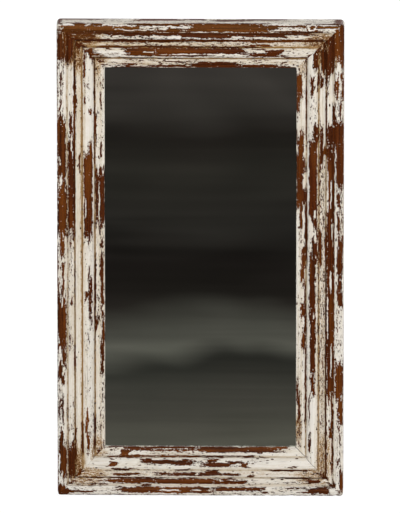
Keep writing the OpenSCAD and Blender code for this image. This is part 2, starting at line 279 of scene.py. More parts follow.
# %% Pits and crumbs
PITS_PER_METRE = (130, 260, 1)
PIT_CHANCE = (0.82, 1.0)
PIT_SIZE = (0.05, 0.34)
CRUMBS_PER_METRE = (290, 440, 1)
CRUMB_CHANCE = (0.80, 0.95)
CRUMB_SIZE = (0.0, 0.36)


def cells_over(tree, place, per_metre):
    """Small cells: the distance to each one's middle, and a number that it draws for itself."""
    stretched_place = stretched(tree, place, per_metre)
    cells = put(tree, "ShaderNodeTexVoronoi", {"Vector": stretched_place, "Scale": 1.0})
    drawn = put(tree, "ShaderNodeSeparateColor", {0: cells.outputs["Color"]}).outputs[0]
    return cells.outputs["Distance"], drawn


pit_middle, chance = cells_over(worn_paint, place, PITS_PER_METRE)
chance = add_shares(worn_paint, chance, (streak(worn_paint, place, 12, 60), 0.14))
pit_size = spread(worn_paint, chance, *PIT_CHANCE, *PIT_SIZE)
pits = calc(worn_paint, "LESS_THAN", pit_middle, pit_size)
crumb_middle, chance = cells_over(worn_paint, place, CRUMBS_PER_METRE)
chance = add_shares(worn_paint, chance, (level, -0.10))
crumb_size = spread(worn_paint, chance, *CRUMB_CHANCE, *CRUMB_SIZE)
crumbs = calc(worn_paint, "LESS_THAN", crumb_middle, crumb_size)
print("pits lie about", round(1000 / PITS_PER_METRE[0]), "mm apart along the wood")

# %% [markdown]
# The cut level gives the edges too. Just under it the paint is thin and dirty, which the halo
# passes on to the paint's colour, but the freshly broken edge itself is clean and pale, and that pale
# line is also a painted highlight on the film's edge. Just over it every flake gets a dark rim: dirt
# packed against the film, and a painted shadow under the film's edge. Fine cracks run along
# the grain where the wood has moved under the paint.

# %% Edges of the film, and cracks in it
BARE_EDGE = (-0.03, 0.03)
FILM_EDGE = (-0.20, 0.04)
HALO_REACH = (-0.60, -0.15)
BREAK_REACH = (-0.16, -0.03)
# paler paint right at the break: a clean fresh edge and a painted highlight on the film's edge
BREAK_CLEAN_AND_HIGHLIGHT = -1.3
# dark rim just past the film's edge: packed dirt and a painted shadow of the film
RIM_DIRT_AND_SHADOW_REACH = (0.0, 0.24)
CRACK_WIDTH = 0.10
CRACK_WHERE = (-0.1, 0.6)

bare = calc(worn_paint, "MULTIPLY", spread(worn_paint, level, *BARE_EDGE), rest_of(worn_paint, crumbs))
bare = calc(worn_paint, "MAXIMUM", bare, pits)
film = rest_of(worn_paint, spread(worn_paint, level, *FILM_EDGE, smooth=True))
film = calc(worn_paint, "MAXIMUM", film, crumbs)
film = calc(worn_paint, "MINIMUM", film, rest_of(worn_paint, pits))
clean_break_and_highlight = spread(worn_paint, level, *BREAK_REACH, 0.0, BREAK_CLEAN_AND_HIGHLIGHT)
halo = calc(worn_paint, "ADD", spread(worn_paint, level, *HALO_REACH, smooth=True), clean_break_and_highlight)
rim_dirt_and_shadow = rest_of(worn_paint, spread(worn_paint, level, *RIM_DIRT_AND_SHADOW_REACH, smooth=True))
line = calc(worn_paint, "ABSOLUTE", streak(worn_paint, place, 7, 300, 2.0))
line = rest_of(worn_paint, spread(worn_paint, line, 0.0, CRACK_WIDTH))
weak = spread(worn_paint, streak(worn_paint, place, 16, 90, 2.0), *CRACK_WHERE)
crack = calc(worn_paint, "MULTIPLY", line, weak)
give_out(worn_paint, result, Bare=bare, Film=film, Halo=halo, Rim=rim_dirt_and_shadow, Crack=crack)

# %% [markdown]
# Old white paint isn't one white. It is clean on the crowns, cream where dust has settled and tan
# in the fine quirks, where wax and dirt stay. The marks of the brush show as long thin streaks that
# are a little darker, and round the corners a brown glaze has been smeared over it. The stain and
# the glaze come from the moulding's own shape, and the streaks break them up.

# %% Colour of the old paint
PAINT_WHITE = seen(233, 227, 217)
PAINT_CREAM = seen(207, 192, 168)
PAINT_TAN = seen(150, 116, 68)
GLAZE_TAN = seen(176, 142, 98)
GLAZE_BROWN = seen(98, 58, 22)
FULL = (0.0, 1.0)

aged_paint, given, result = start_group(
    "aged_paint",
    [("Place", "Vector"), ("Stain_and_shade", "Float"), ("Smear", "Float"), ("Halo", "Float")],
    [("Color", "Color")],
)
place = given["Place"]
slow = streak(aged_paint, place, 14, 70, 2.0)
quick = streak(aged_paint, place, 120, 560, 4.0)
grime = streak(aged_paint, place, 430, 680, 3.0)
brushed = streak(aged_paint, place, 6, 430, 2.0)
# the stain input also carries each member's painted light and shade
dirt_and_shade = add_shares(aged_paint, given["Stain_and_shade"], (given["Halo"], 0.24))
cream_share = add_shares(aged_paint, dirt_and_shade, (slow, 0.18), (quick, 0.22), (brushed, 0.30))
tan_share = add_shares(aged_paint, dirt_and_shade, (quick, 0.28), (grime, 0.22), (brushed, 0.16))
glaze_share = add_shares(aged_paint, 1.0, (quick, 0.60), (grime, 0.95))
glaze_share = calc(aged_paint, "MULTIPLY", glaze_share, given["Smear"])
coats = [
    # the value that lays the coat, its range, how fully the coat lies at its ends, and its colour
    (cream_share, (0.0, 0.85), FULL, PAINT_CREAM),
    (tan_share, (0.70, 1.10), FULL, PAINT_TAN),
    (glaze_share, (0.20, 0.60), FULL, GLAZE_TAN),
    (glaze_share, (0.50, 1.00), FULL, GLAZE_BROWN),
]
give_out(aged_paint, result, Color=lay_coats(aged_paint, PAINT_WHITE, coats))

# %% [markdown]
# Wood under the paint shows as long fibres: dark pores, a middle brown, lighter places where it has
# been rubbed, and a fine mottle. Five coats, each laid by streaks of another length, give that. The
# same effect, with other colours, makes the beech of the dowels and the face of the plywood.

# %% Grain of bare wood
wood_grain, given, result = start_group(
    "wood_grain",
    [
        ("Place", "Vector"), ("Mottle", "Float"),
        ("Dark", "Color"), ("Middle", "Color"), ("Light", "Color"),
    ],
    [("Color", "Color"), ("Height", "Float")],
)
place = given["Place"]
fibres = streak(wood_grain, place, 9, 420, 3.0)
pores = streak(wood_grain, place, 45, 1700, 2.0)
patches = streak(wood_grain, place, 6, 40, 2.0)
lightened_wood = add_shares(wood_grain, patches, (fibres, 0.35))
mottle = calc(wood_grain, "MULTIPLY", streak(wood_grain, place, 420, 760, 3.0), given["Mottle"])
coats = [
    (fibres, (-0.9, 0.5), FULL, given["Middle"]),
    (lightened_wood, (0.0, 1.0), FULL, given["Light"]),
    (pores, (0.35, 0.9), (0.0, 0.55), given["Dark"]),
    (mottle, (0.1, 1.0), (0.0, 0.8), given["Dark"]),
    (mottle, (-0.1, -1.0), (0.0, 0.7), given["Light"]),
]
colour = lay_coats(wood_grain, given["Dark"], coats)
height = add_shares(wood_grain, 0.0, (fibres, 0.35), (pores, -0.35))
give_out(wood_grain, result, Color=colour, Height=height)

# %% [markdown]
# The painted wood puts the three effects together. Paint lies over the wood where it isn't bare. A
# mitre that has opened shows as a dark hairline: each member knows how far every point is from its
# mitre, and how far that mitre has opened.

# %% Painted wood
WOOD_DARK = seen(46, 19, 5)
WOOD_MIDDLE = seen(86, 37, 9)
WOOD_LIGHT = seen(114, 60, 16)
WOOD_POLISH_AND_SHEEN = seen(126, 78, 30)
WOOD_MOTTLE = 0.8
RIM_DIRT_AND_SHADOW_BROWN = seen(46, 20, 6)
RIM_DIRT_AND_SHADOW_DARKENS = 0.6
CRACK_BROWN = seen(104, 74, 48)
CRACK_DARKENS = 0.55
HAIRLINE = 0.34 * MM
HAIRLINE_RAGGED = 0.5
HAIRLINE_DARK = seen(52, 32, 18)

painted_wood, tree, shader = start_material("painted_wood")
place = put(tree, "ShaderNodeAttribute", attribute_name="moulding_place").outputs["Vector"]
wear = put(tree, "ShaderNodeAttribute", attribute_name="wear").outputs["Vector"]
worn, stain, smear = put(tree, "ShaderNodeSeparateXYZ", {0: wear}).outputs
mitre = put(tree, "ShaderNodeAttribute", attribute_name="mitre").outputs["Vector"]
mitre_far, mitre_open, lightened_wood = put(tree, "ShaderNodeSeparateXYZ", {0: mitre}).outputs
paint = place_group(tree, worn_paint, {"Place": place, "Worn": worn})
paint_colour = place_group(
    tree, aged_paint, {"Place": place, "Stain_and_shade": stain, "Smear": smear, "Halo": paint["Halo"]}
)
# bare wood is blended towards a lighter brown, partly polish and partly a painted sheen
middle_with_polish_and_sheen = blend_colours(tree, lightened_wood, WOOD_MIDDLE, WOOD_POLISH_AND_SHEEN)
wood = place_group(
    tree,
    wood_grain,
    {"Place": place, "Mottle": WOOD_MOTTLE, "Dark": WOOD_DARK, "Middle": middle_with_polish_and_sheen, "Light": WOOD_LIGHT},
)
# darkens bare wood next to the paint: packed dirt and a painted shadow under the film's edge
rim_dirt_and_shadow_share = calc(tree, "MULTIPLY", paint["Rim"], RIM_DIRT_AND_SHADOW_DARKENS)
wood_colour = blend_colours(tree, rim_dirt_and_shadow_share, wood["Color"], RIM_DIRT_AND_SHADOW_BROWN)
crack_share = calc(tree, "MULTIPLY", paint["Crack"], CRACK_DARKENS)
cracked = blend_colours(tree, crack_share, paint_colour["Color"], CRACK_BROWN)
colour = blend_colours(tree, paint["Bare"], cracked, wood_colour)
opened = add_shares(tree, mitre_open, (streak(tree, place, 260, 900, 2.0), HAIRLINE_RAGGED))
hairline = calc(tree, "LESS_THAN", mitre_far, calc(tree, "MULTIPLY", opened, HAIRLINE))
colour = blend_colours(tree, hairline, colour, HAIRLINE_DARK)
tree.links.new(colour, shader.inputs["Base Color"])
print("painted wood has its colours from", len(tree.nodes), "nodes")

# %% [markdown]
# Colour alone would look printed. The film of paint is also a step in the surface, so light catches
# its broken edges, and brush marks, cracks and grain lie in it as finer steps. Old paint is dull
# and bare wood is a little smoother. The shine is one number for both, set straight on the shader.

# %% Surface of the painted wood
PAINT_ROUGH = 0.58
WOOD_ROUGH = 0.44
SHINE = 0.05
FILM_DEPTH = 0.34 * MM
BRUSH_HEIGHT = 0.10
CRACK_HEIGHT = -0.25
GRAIN_HEIGHT = 0.45

rough = spread(tree, paint["Bare"], 0.0, 1.0, PAINT_ROUGH, WOOD_ROUGH)
tree.links.new(rough, shader.inputs["Roughness"])
shader.inputs["Specular IOR Level"].default_value = SHINE
brush = streak(tree, place, 30, 1100, 1.0)
grain = calc(tree, "MULTIPLY", wood["Height"], paint["Bare"])
height = add_shares(
    tree, paint["Film"], (brush, BRUSH_HEIGHT), (paint["Crack"], CRACK_HEIGHT), (grain, GRAIN_HEIGHT)
)
bump(tree, shader, calc(tree, "SUBTRACT", height, hairline), FILM_DEPTH)
print("painted wood has", len(tree.nodes), "nodes")

# %% [markdown]
# All four members are one moulding. Its section has an outer bead, a narrow bead, a hollow cove, a
# broad bead and a lip, with quirks between them. It could be lofted from a curve, but here a pen
# draws it with bmesh: a line is an extruded vertex, and an arc is a spin. Places are given in
# millimetres, as the distance from the outer edge and the height over the frame's back.

# %% A pen for the moulding's section
FINE_STEP = 1.1
PLAIN_STEP = 3.0


class SectionPen:
    """Draws in the plane x = 0, with the distance from the outer edge along -z and height along -y."""

    def __init__(self, bm):
        self.bm = bm
        self.tip = bm.verts.new((0, 0, 0))

    def at(self):
        return -self.tip.co.z / MM, -self.tip.co.y / MM

    def line(self, across, height):
        self.tip = bmesh.ops.extrude_vert_indiv(self.bm, verts=[self.tip])["verts"][0]
        self.tip.co = Vector((0, -height * MM, -across * MM))

    def arc(self, centre, across, height):
        here = self.at()
        begin = math.atan2(here[1] - centre[1], here[0] - centre[0])
        end = math.atan2(height - centre[1], across - centre[0])
        sweep = (end - begin + math.pi) % (2 * math.pi) - math.pi
        radius = math.hypot(here[0] - centre[0], here[1] - centre[1])
        made = bmesh.ops.spin(
            self.bm,
            geom=[self.tip],
            cent=(0, -centre[1] * MM, -centre[0] * MM),
            axis=(1, 0, 0),
            angle=-sweep,
            steps=max(3, math.ceil(abs(sweep) * radius / FINE_STEP)),
        )["geom_last"]
        self.tip = [item for item in made if isinstance(item, bmesh.types.BMVert)][0]


def over(centre, radius, across):
    """Height at which a circle stands over a place."""
    return centre[1] + math.sqrt(radius**2 - (across - centre[0]) ** 2)


print("pen ready")

# %% [markdown]
# Each band is a few millimetres wide, so the section is drawn band by band, in the order in which a
# moulding plane would meet them. The true arcs matter: a bead drawn with three flats would show
# three flat shades under soft light. The quirks are a little shallower than the plane cut them,
# because coats of paint have settled in them.

# %% The moulding's section
MOULDING = 75.0
OUTER_CROWN = 38.0
OUTER_RISE = 3.0
NARROW_CROWN = 33.5
NARROW_RISE = 1.5
# quirks: where each begins and ends, and the height of its floor
QUIRK_A = (15.5, 17.5, 30.5)
QUIRK_B = (27.5, 28.8, 28.2)
QUIRK_C = (39.0, 40.3, 26.8)
QUIRK_D = (58.6, 60.2, 17.0)
# height of the flat beside the cove
COVE_TOP = 31.0
# arcs: the middle of each, as a place across and a height, and its radius
COVE_CENTRE = (36.0, 36.5)
COVE_R = 8.5
BROAD_CENTRE = (45.6, 15.0)
BROAD_R = 14.0
LIP_CENTRE = (63.9, -5.0)
LIP_R = 24.0
NOSE_CENTRE = (72.6, 14.95)
# rebates at the back, and how far the paint laps round onto it
GLASS_FRONT = 12.0
GLASS_REBATE = 65.0
BOARD_REBATE = 55.0
BOARD_T = 5.0
PAINT_LAP = 14.0


def crowned(pen, begin, end, crown, rise):
    """A crowned strip from edge to edge."""
    half = (end - begin) / 2
    radius = (half**2 + rise**2) / (2 * rise)
    pen.line(begin, crown - rise)
    pen.arc((begin + half, crown - radius), end, crown - rise)


def quirk(pen, groove):
    """A square groove between two bands."""
    begin, end, floor = groove
    pen.line(begin, floor)
    pen.line(end, floor)


def draw_section(bm):
    """The whole outline, from the outer back corner over the front and round to the back."""
    pen = SectionPen(bm)
    crowned(pen, 0, QUIRK_A[0], OUTER_CROWN, OUTER_RISE)
    quirk(pen, QUIRK_A)
    crowned(pen, QUIRK_A[1], QUIRK_B[0], NARROW_CROWN, NARROW_RISE)
    quirk(pen, QUIRK_B)
    pen.line(QUIRK_B[1], COVE_TOP)
    land = COVE_CENTRE[0] - math.sqrt(COVE_R**2 - (COVE_CENTRE[1] - COVE_TOP) ** 2)
    pen.line(land, COVE_TOP)
    cove_inner = 2 * COVE_CENTRE[1] - over(COVE_CENTRE, COVE_R, QUIRK_C[0])
    pen.arc(COVE_CENTRE, QUIRK_C[0], cove_inner)
    quirk(pen, QUIRK_C)
    pen.line(QUIRK_C[1], over(BROAD_CENTRE, BROAD_R, QUIRK_C[1]))
    pen.arc(BROAD_CENTRE, QUIRK_D[0], over(BROAD_CENTRE, BROAD_R, QUIRK_D[0]))
    quirk(pen, QUIRK_D)
    pen.line(QUIRK_D[1], over(LIP_CENTRE, LIP_R, QUIRK_D[1]))
    pen.arc(LIP_CENTRE, NOSE_CENTRE[0], over(LIP_CENTRE, LIP_R, NOSE_CENTRE[0]))
    pen.arc(NOSE_CENTRE, MOULDING, NOSE_CENTRE[1])
    pen.line(MOULDING, GLASS_FRONT)
    pen.line(GLASS_REBATE, GLASS_FRONT)
    pen.line(GLASS_REBATE, BOARD_T)
    pen.line(BOARD_REBATE, BOARD_T)
    pen.line(BOARD_REBATE, 0)
    pen.line(PAINT_LAP, 0)
    bmesh.ops.remove_doubles(bm, verts=bm.verts[:], dist=0.001 * MM)
    ends = [v for v in bm.verts if len(v.link_edges) == 1]
    bm.edges.new(ends)
    return bmesh.ops.contextual_create(bm, geom=bm.edges[:])["faces"][0]


trial = bmesh.new()
outline = draw_section(trial)
print("section has", len(outline.verts), "points and", round(outline.calc_area() * 1e6), "mm2")
trial.free()

# %% [markdown]
# Paint and a century of dusting have softened every arris, and a sharp corner would also catch no
# light. So the corners of the flat outline are rounded before it becomes a solid, which is far
# cheaper than a bevel along a finished moulding. Then each point is told its place round the
# moulding: positive over the front, negative round the back.

# %% Soften the section and measure round it
FRONT_SOFT = 0.35 * MM
BACK_SOFT = 0.8 * MM
TURN_LEAST = math.radians(25)
TINY = 1e-6


def is_back(vert):
    """Points on the frame's back and in the rebates."""
    return -vert.co.y < GLASS_FRONT * MM + TINY and -vert.co.z > TINY


def soften(bm, on_back, amount):
    """Rounds the outline's corners on the front or on the back."""
    corners = []
    for vert in bm.verts:
        first, second = (edge.other_vert(vert).co - vert.co for edge in vert.link_edges)
        if math.pi - first.angle(second) > TURN_LEAST and is_back(vert) == on_back:
            corners.append(vert)
    bmesh.ops.bevel(
        bm, geom=corners, affect="VERTICES", offset=amount, segments=2, profile=0.5, material=-1
    )
    return len(corners)


def refine(bm):
    """Cuts the long straight edges of the front, so that wear can shape them."""
    for edge in bm.edges[:]:
        if any(is_back(v) for v in edge.verts):
            continue
        on_side = all(abs(v.co.z) < TINY for v in edge.verts)
        step = PLAIN_STEP if on_side else FINE_STEP
        cuts = math.ceil(edge.calc_length() / (step * MM)) - 1
        if cuts > 0:
            bmesh.ops.subdivide_edges(bm, edges=[edge], cuts=cuts)


def measure_round(bm):
    """Writes each point's way round the moulding and its distance across it, both in millimetres."""
    girth = bm.verts.layers.float.new("girth")
    across = bm.verts.layers.float.new("across")
    face = bm.faces[:][0]
    ring = [loop.vert for loop in face.loops]
    first = min(range(len(ring)), key=lambda i: ring[i].co.length)
    ring = ring[first:] + ring[:first]
    if -ring[1].co.z > TINY:
        ring = ring[:1] + ring[:0:-1]
    way = 0.0
    for here, before in zip(ring, ring[:1] + ring):
        if is_back(here):
            here[girth] = here.co.z / MM + here.co.y / MM
            here[across] = here[girth] - OUTER_CROWN
            continue
        way += (here.co - before.co).length / MM
        here[girth] = way
        on_side = abs(here.co.z) < TINY
        here[across] = -here.co.y / MM - OUTER_CROWN + OUTER_RISE if on_side else -here.co.z / MM
    return way


trial = bmesh.new()
draw_section(trial)
softened_front = soften(trial, False, FRONT_SOFT)
softened_back = soften(trial, True, BACK_SOFT)
print("rounded", softened_front, "front and", softened_back, "back corners")
refine(trial)
print("front girth in mm", round(measure_round(trial)), "with", len(trial.verts), "points")
trial.free()

# %% [markdown]
# A length of moulding is the section pulled along, and its ends are mitred simply by stopping each
# point where its own mitre line is: the further from the outer edge, the shorter. After that,
# hundreds of cuts along it give the wear something to push on, and the outer corners, which are
# always knocked first, are drawn onto a small circle.

# %% Cut a mitred member
CUT_STEP = 1.35 * MM
CORNER_R = 6.5 * MM


def mitred_member(length, outer_edge):
    """A member lying as the top rail lies, as a bmesh."""
    bm = bmesh.new()
    draw_section(bm)
    soften(bm, False, FRONT_SOFT)
    soften(bm, True, BACK_SOFT)
    refine(bm)
    measure_round(bm)
    made = bmesh.ops.extrude_face_region(bm, geom=bm.faces[:])["geom"]
    far_end = {item for item in made if isinstance(item, bmesh.types.BMVert)}
    for vert in bm.verts:
        reach = length / 2 + vert.co.z
        vert.co.x = reach if vert in far_end else -reach
    caps = [f for f in bm.faces if len(f.verts) > 4]
    for edge in {e for f in caps for e in f.edges}:
        edge.smooth = False
    long_edges = [e for e in bm.edges if e.verts[0].co.x * e.verts[1].co.x < 0]
    bmesh.ops.subdivide_edges(bm, edges=long_edges, cuts=round(length / CUT_STEP), use_grid_fill=True)
    for vert in bm.verts:
        from_corner = Vector((CORNER_R - (length / 2 - abs(vert.co.x)), CORNER_R + vert.co.z))
        if min(from_corner) > 0 and from_corner.length > CORNER_R:
            from_corner *= CORNER_R / from_corner.length
            vert.co.x = math.copysign(length / 2 - CORNER_R + from_corner.x, vert.co.x)
            vert.co.z = from_corner.y - CORNER_R
    bmesh.ops.translate(bm, verts=bm.verts[:], vec=(0, 0, outer_edge))
    bmesh.ops.recalc_face_normals(bm, faces=bm.faces[:])
    return bm


print("one cut every", CUT_STEP / MM, "mm")

# %% [markdown]
# Where the paint has gone is a record of one object's life, so no noise will put it in the right
# places. Here it is written down as a restorer would: member by member and band by band, in
# millimetres along the member and across it, read from the photograph. Rails are measured
# from their left end, stiles from the top. The shader frays the edges, so a plain box is enough.

# %% Places worn down to the wood
WORN = {
    "top_rail": [
        # outer bead and the edge over it
        (8, 52, 0, 14), (46, 95, 3.5, 14), (57, 72, 0, 2), (86, 130, 5, 9.5), (92, 101, 9, 14),
        (117, 122, 0, 9), (141, 149, 13, 15), (150, 206, 8.5, 14), (206, 330, 0.5, 13.5),
        (328, 352, 3, 9), (330, 388, 2, 5), (376, 380, 11, 13), (408, 446, 3, 7),
        (0, 450, -38, -34), (-5, 70, -39, -28), (125, 197, -38, -21), (244, 300, -31, -17),
        (290, 352, -38, -25), (436, 455, -38, 1), (-5, 7, -38, 1), (205, 232, -38, -27),
        (0, 60, -3, 1), (110, 150, -2, 1), (190, 330, -4, 1), (380, 450, -2, 0.6),
        (120, 205, 0, 3), (60, 150, 12.5, 15), (340, 420, 12, 15),
        # narrow bead and the quirks beside it
        (15, 40, 14, 19), (128, 152, 15.5, 20.5), (146, 318, 15.5, 24.6), (310, 360, 16, 22.5),
        (370, 386, 16, 17.5), (40, 436, 26.4, 30.2), (232, 268, 29, 31), (308, 332, 35, 37.5),
        (60, 312, 38, 40), (30, 130, 15.2, 17.6), (130, 400, 15.2, 19), (80, 128, 15.5, 20),
        (80, 210, 30, 32), (300, 372, 29.5, 31.5),
        # broad bead
        (50, 58, 43, 52), (79, 84, 40.5, 43), (108, 160, 41.5, 54), (148, 292, 41, 51),
        (286, 312, 49, 51), (303, 358, 48, 55), (328, 358, 43, 50), (150, 246, 52.5, 55),
        # lip
        (58, 78, 56, 59), (100, 160, 57.5, 59.5), (358, 392, 56.5, 58.5), (104, 114, 68, 72),
        (144, 216, 70.5, 74), (168, 202, 64, 65.5), (208, 292, 67, 74), (222, 290, 65, 72),
        (350, 358, 64.5, 66.5), (84, 150, 73, 75), (210, 398, 72.5, 75), (296, 340, 69, 73),
    ],
    "left_stile": [
        # side and outer bead; the first place, a dark bare line along the whole outer arris, is painted
        # shade of the side face
        (0, 760, -4, 0.7), (95, 190, -37, -27), (250, 330, -14, -5), (395, 480, -31, -23),
        (520, 640, -38, -29), (655, 720, -12, -2), (0, 760, -38, -34),
        (8, 55, 1, 14), (75, 110, 6, 8), (115, 127, 6, 8), (135, 146, 5, 7), (153, 250, 1.5, 14.5),
        (248, 264, 8, 13), (262, 340, 1.5, 16), (335, 372, 5, 12), (385, 398, 9, 12),
        (398, 430, 9.5, 11), (435, 525, 1.5, 13.5), (455, 520, 2, 15), (520, 550, 9, 14),
        (548, 572, 1.5, 8), (562, 582, 5, 12), (600, 645, 9, 10.5), (660, 692, 3, 9),
        (674, 728, 4.5, 15), (745, 757, 1.5, 25),
        # narrow bead and the quirks beside it
        (10, 60, 15, 25), (153, 190, 20.5, 24.5), (185, 335, 17.6, 27), (447, 456, 21, 24),
        (500, 520, 19, 20.5), (678, 730, 17, 28), (65, 190, 27, 29.2), (95, 150, 27, 31),
        (115, 125, 28, 33), (190, 345, 27, 29), (395, 450, 27.9, 28.6), (520, 562, 27, 29),
        (655, 705, 28, 30.5), (212, 236, 34.5, 36.5), (650, 692, 38, 41),
        # broad bead
        (46, 62, 41, 46), (62, 82, 42, 45), (43, 53, 50, 57), (122, 128, 43, 45),
        (141, 146, 50, 52), (147, 153, 53, 55), (195, 232, 51, 55), (210, 342, 42.4, 56),
        (340, 348, 43, 46), (340, 353, 50, 54), (385, 410, 50, 51.5), (412, 478, 50, 55),
        (436, 446, 44, 50), (625, 641, 46, 49), (640, 666, 44, 48), (655, 686, 46.5, 51),
        (690, 695, 47, 49),
        # lip
        (60, 230, 58.7, 59.5), (412, 500, 58.8, 59.5), (120, 145, 68, 69.8), (160, 186, 58.5, 62),
        (235, 330, 60.5, 75), (330, 345, 66, 68), (350, 370, 68.5, 72), (380, 470, 59, 61),
        (380, 458, 68.8, 73), (484, 512, 71, 74.6), (202, 216, 68, 70.6), (478, 486, 60, 68),
        (468, 480, 70, 74), (510, 570, 68.5, 73), (640, 690, 58, 60),
    ],
    "right_stile": [
        # side and outer bead
        (55, 130, -31, -22), (180, 300, -38, -27), (330, 362, -12, -4), (420, 520, -21, -12),
        (555, 700, -38, -30), (640, 690, -14, -3), (0, 760, -38, -34),
        (-20, 78, -8, 6), (-8, 58, -2, 16), (85, 115, 8.5, 12), (80, 112, 13, 15.5), (85, 92, 2, 6),
        (92, 110, 0, 3), (128, 152, 4, 7), (133, 160, 14, 18), (155, 195, 0, 18),
        (186, 262, 0, 12.5), (340, 366, 0, 9.5), (364, 402, 2, 11), (405, 426, 3, 9),
        (428, 452, 2, 10), (545, 600, 0.5, 13), (600, 642, 1, 9), (648, 656, 5, 7),
        (270, 300, 5, 11), (306, 330, 6, 10),
        (665, 672, 5, 6.2), (697, 707, 6, 11), (718, 757, 0, 6), (750, 757, 3, 11),
        # narrow bead and the quirks beside it
        (22, 78, 15, 24), (45, 75, 24, 36), (168, 198, 15, 27), (186, 602, 15, 26),
        (600, 662, 16.5, 22), (644, 668, 18, 22.5), (660, 722, 16, 18), (72, 105, 25, 28.5),
        (105, 190, 27, 28.6), (371, 742, 27, 28.4), (330, 385, 26, 30), (85, 100, 33, 37),
        (85, 108, 38.5, 42), (168, 230, 33, 37.5), (198, 214, 26, 34), (330, 385, 35, 39),
        # broad bead
        (50, 72, 40, 49), (88, 116, 48, 52.5), (164, 189, 40, 48), (186, 328, 42, 55),
        (326, 385, 41, 50), (371, 470, 44.5, 54), (470, 567, 44.5, 53), (568, 601, 46, 52),
        (600, 640, 53.8, 55), (663, 670, 53, 55), (674, 689, 52, 55.5),
        # lip
        (60, 190, 58.7, 59.6), (84, 120, 66, 75), (118, 143, 70, 75), (178, 230, 63.5, 75),
        (222, 242, 55, 75), (228, 300, 65, 75), (266, 290, 56, 75), (280, 332, 65.5, 69.5),
        (288, 386, 57.5, 61), (371, 386, 60, 66), (384, 416, 61.5, 68), (414, 462, 60, 61.8),
        (461, 473, 59.5, 67.5), (474, 502, 59, 61.5), (499, 531, 60, 66), (530, 655, 58.8, 60.4),
        (580, 612, 71.5, 74), (603, 642, 68, 72),
    ],
    "bottom_rail": [
        # outer bead; the first place, a dark bare line along the whole outer arris, is painted shade of
        # the underside
        (0, 450, -4, 0.9),
        (2, 14, 1, 11), (12, 33, 5, 9), (33, 56, 5.5, 7.5), (96, 158, 8.5, 14), (104, 242, 5, 14),
        (130, 160, 5, 17), (240, 312, 9, 14), (288, 317, 8, 14), (321, 338, 5, 7),
        (366, 371, 12, 15), (381, 384, 12, 14), (384, 398, 5, 7), (397, 413, 5, 12),
        (410, 425, 4, 15),
        # narrow bead and the quirks beside it
        (78, 102, 22.5, 26), (98, 158, 19, 27), (150, 246, 18, 27), (244, 298, 18, 23.5),
        (258, 282, 25, 27), (392, 412, 20, 26), (50, 54, 23, 25), (52, 58, 15.5, 19.5),
        (62, 68, 16, 18), (73, 78, 17, 19), (28, 160, 27.6, 28.8), (355, 402, 27.4, 28.8),
        (84, 116, 31, 34), (119, 128, 32, 34), (163, 226, 31.5, 35.5), (235, 251, 31, 39.5),
        (250, 280, 31.5, 34.5), (299, 310, 29, 31.5), (94, 109, 39, 42), (194, 212, 38.5, 41),
        (338, 392, 38.8, 40.4),
        # broad bead
        (80, 87, 45, 52), (81, 84, 55, 57), (130, 158, 51, 56.5), (150, 202, 49.5, 55.5),
        (184, 216, 47.5, 53), (230, 270, 45, 51), (239, 251, 52.5, 56.5), (273, 292, 51.5, 53.5),
        (286, 298, 45, 51.5), (359, 365, 43, 45), (369, 378, 44.5, 46.5),
        # lip
        (76, 108, 58.6, 59.8), (100, 132, 58.6, 61.5), (130, 320, 58.8, 60.6), (99, 114, 60.5, 70),
        (106, 147, 71, 75), (75, 108, 73.5, 75), (145, 222, 72, 75), (150, 236, 69, 70.8),
        (218, 348, 70, 75), (185, 196, 66, 67.5), (118, 158, 68.5, 71), (345, 362, 72.5, 75),
        (224, 350, 66.5, 75),
    ],
}
print("worn places", {name: len(places) for name, places in WORN.items()})

# %% [markdown]
# A worn place is seldom bare all over. Islands of paint are left standing in it, and round it lies
# paint that has only begun to flake. Both are written down in the same way. Three more lists say
# where brown glaze was smeared over the paint, where wear follows a mitre, and where the right edge
# has been chipped.

# %% Paint left standing, flaking and smeared
KEPT = {
    # from, to, near, far
    "top_rail": [
        (10, 25, -1, 3), (50, 57, 0, 3), (72, 80, 0, 3), (162, 174, 7, 9.5), (335, 350, 0, 2.5),
        (356, 374, 0, 2.5), (150, 166, 20, 24), (168, 202, 20.5, 24.5), (202, 222, 22.5, 24.5),
        (280, 294, 21.5, 24.5), (300, 331, 22.5, 24.5), (130, 150, 47, 48.5), (180, 233, 50.5, 52.3),
        (240, 286, 50.5, 55),
    ],
    "left_stile": [
        (18, 26, 10, 11.5), (30, 36, 10, 11.5), (44, 48, 9, 11), (215, 225, 4, 6), (440, 457, 7.5, 9.5),
        (252, 262, 2, 8), (190, 205, 22, 24), (207, 215, 25, 26.5), (240, 330, 56.5, 59),
        (255, 330, 65.2, 67), (288, 312, 45, 46.5),
    ],
    "right_stile": [
        (176, 182, 42, 44), (195, 215, 72, 75), (197, 230, 58, 63), (238, 268, 56.5, 64),
        (190, 330, 55.4, 57.6), (320, 346, 48, 56), (325, 356, 43, 46.5), (255, 286, 19, 21),
        (220, 224, 20.5, 21.5), (204, 208, 18, 19), (318, 350, 17, 19), (240, 300, 24.5, 26),
        (440, 500, 24.5, 26), (400, 425, 19, 22), (525, 560, 18.5, 20.5), (600, 650, 19.5, 21.5),
        (300, 312, 44, 47), (60, 75, 5, 12),
    ],
    "bottom_rail": [
        (105, 125, 2.5, 4.5), (150, 196, 14.5, 18), (163, 186, 8, 10.3), (212, 227, 8.5, 9.8),
        (214, 302, 14.5, 17.5), (120, 150, 66, 68.5),
    ],
}
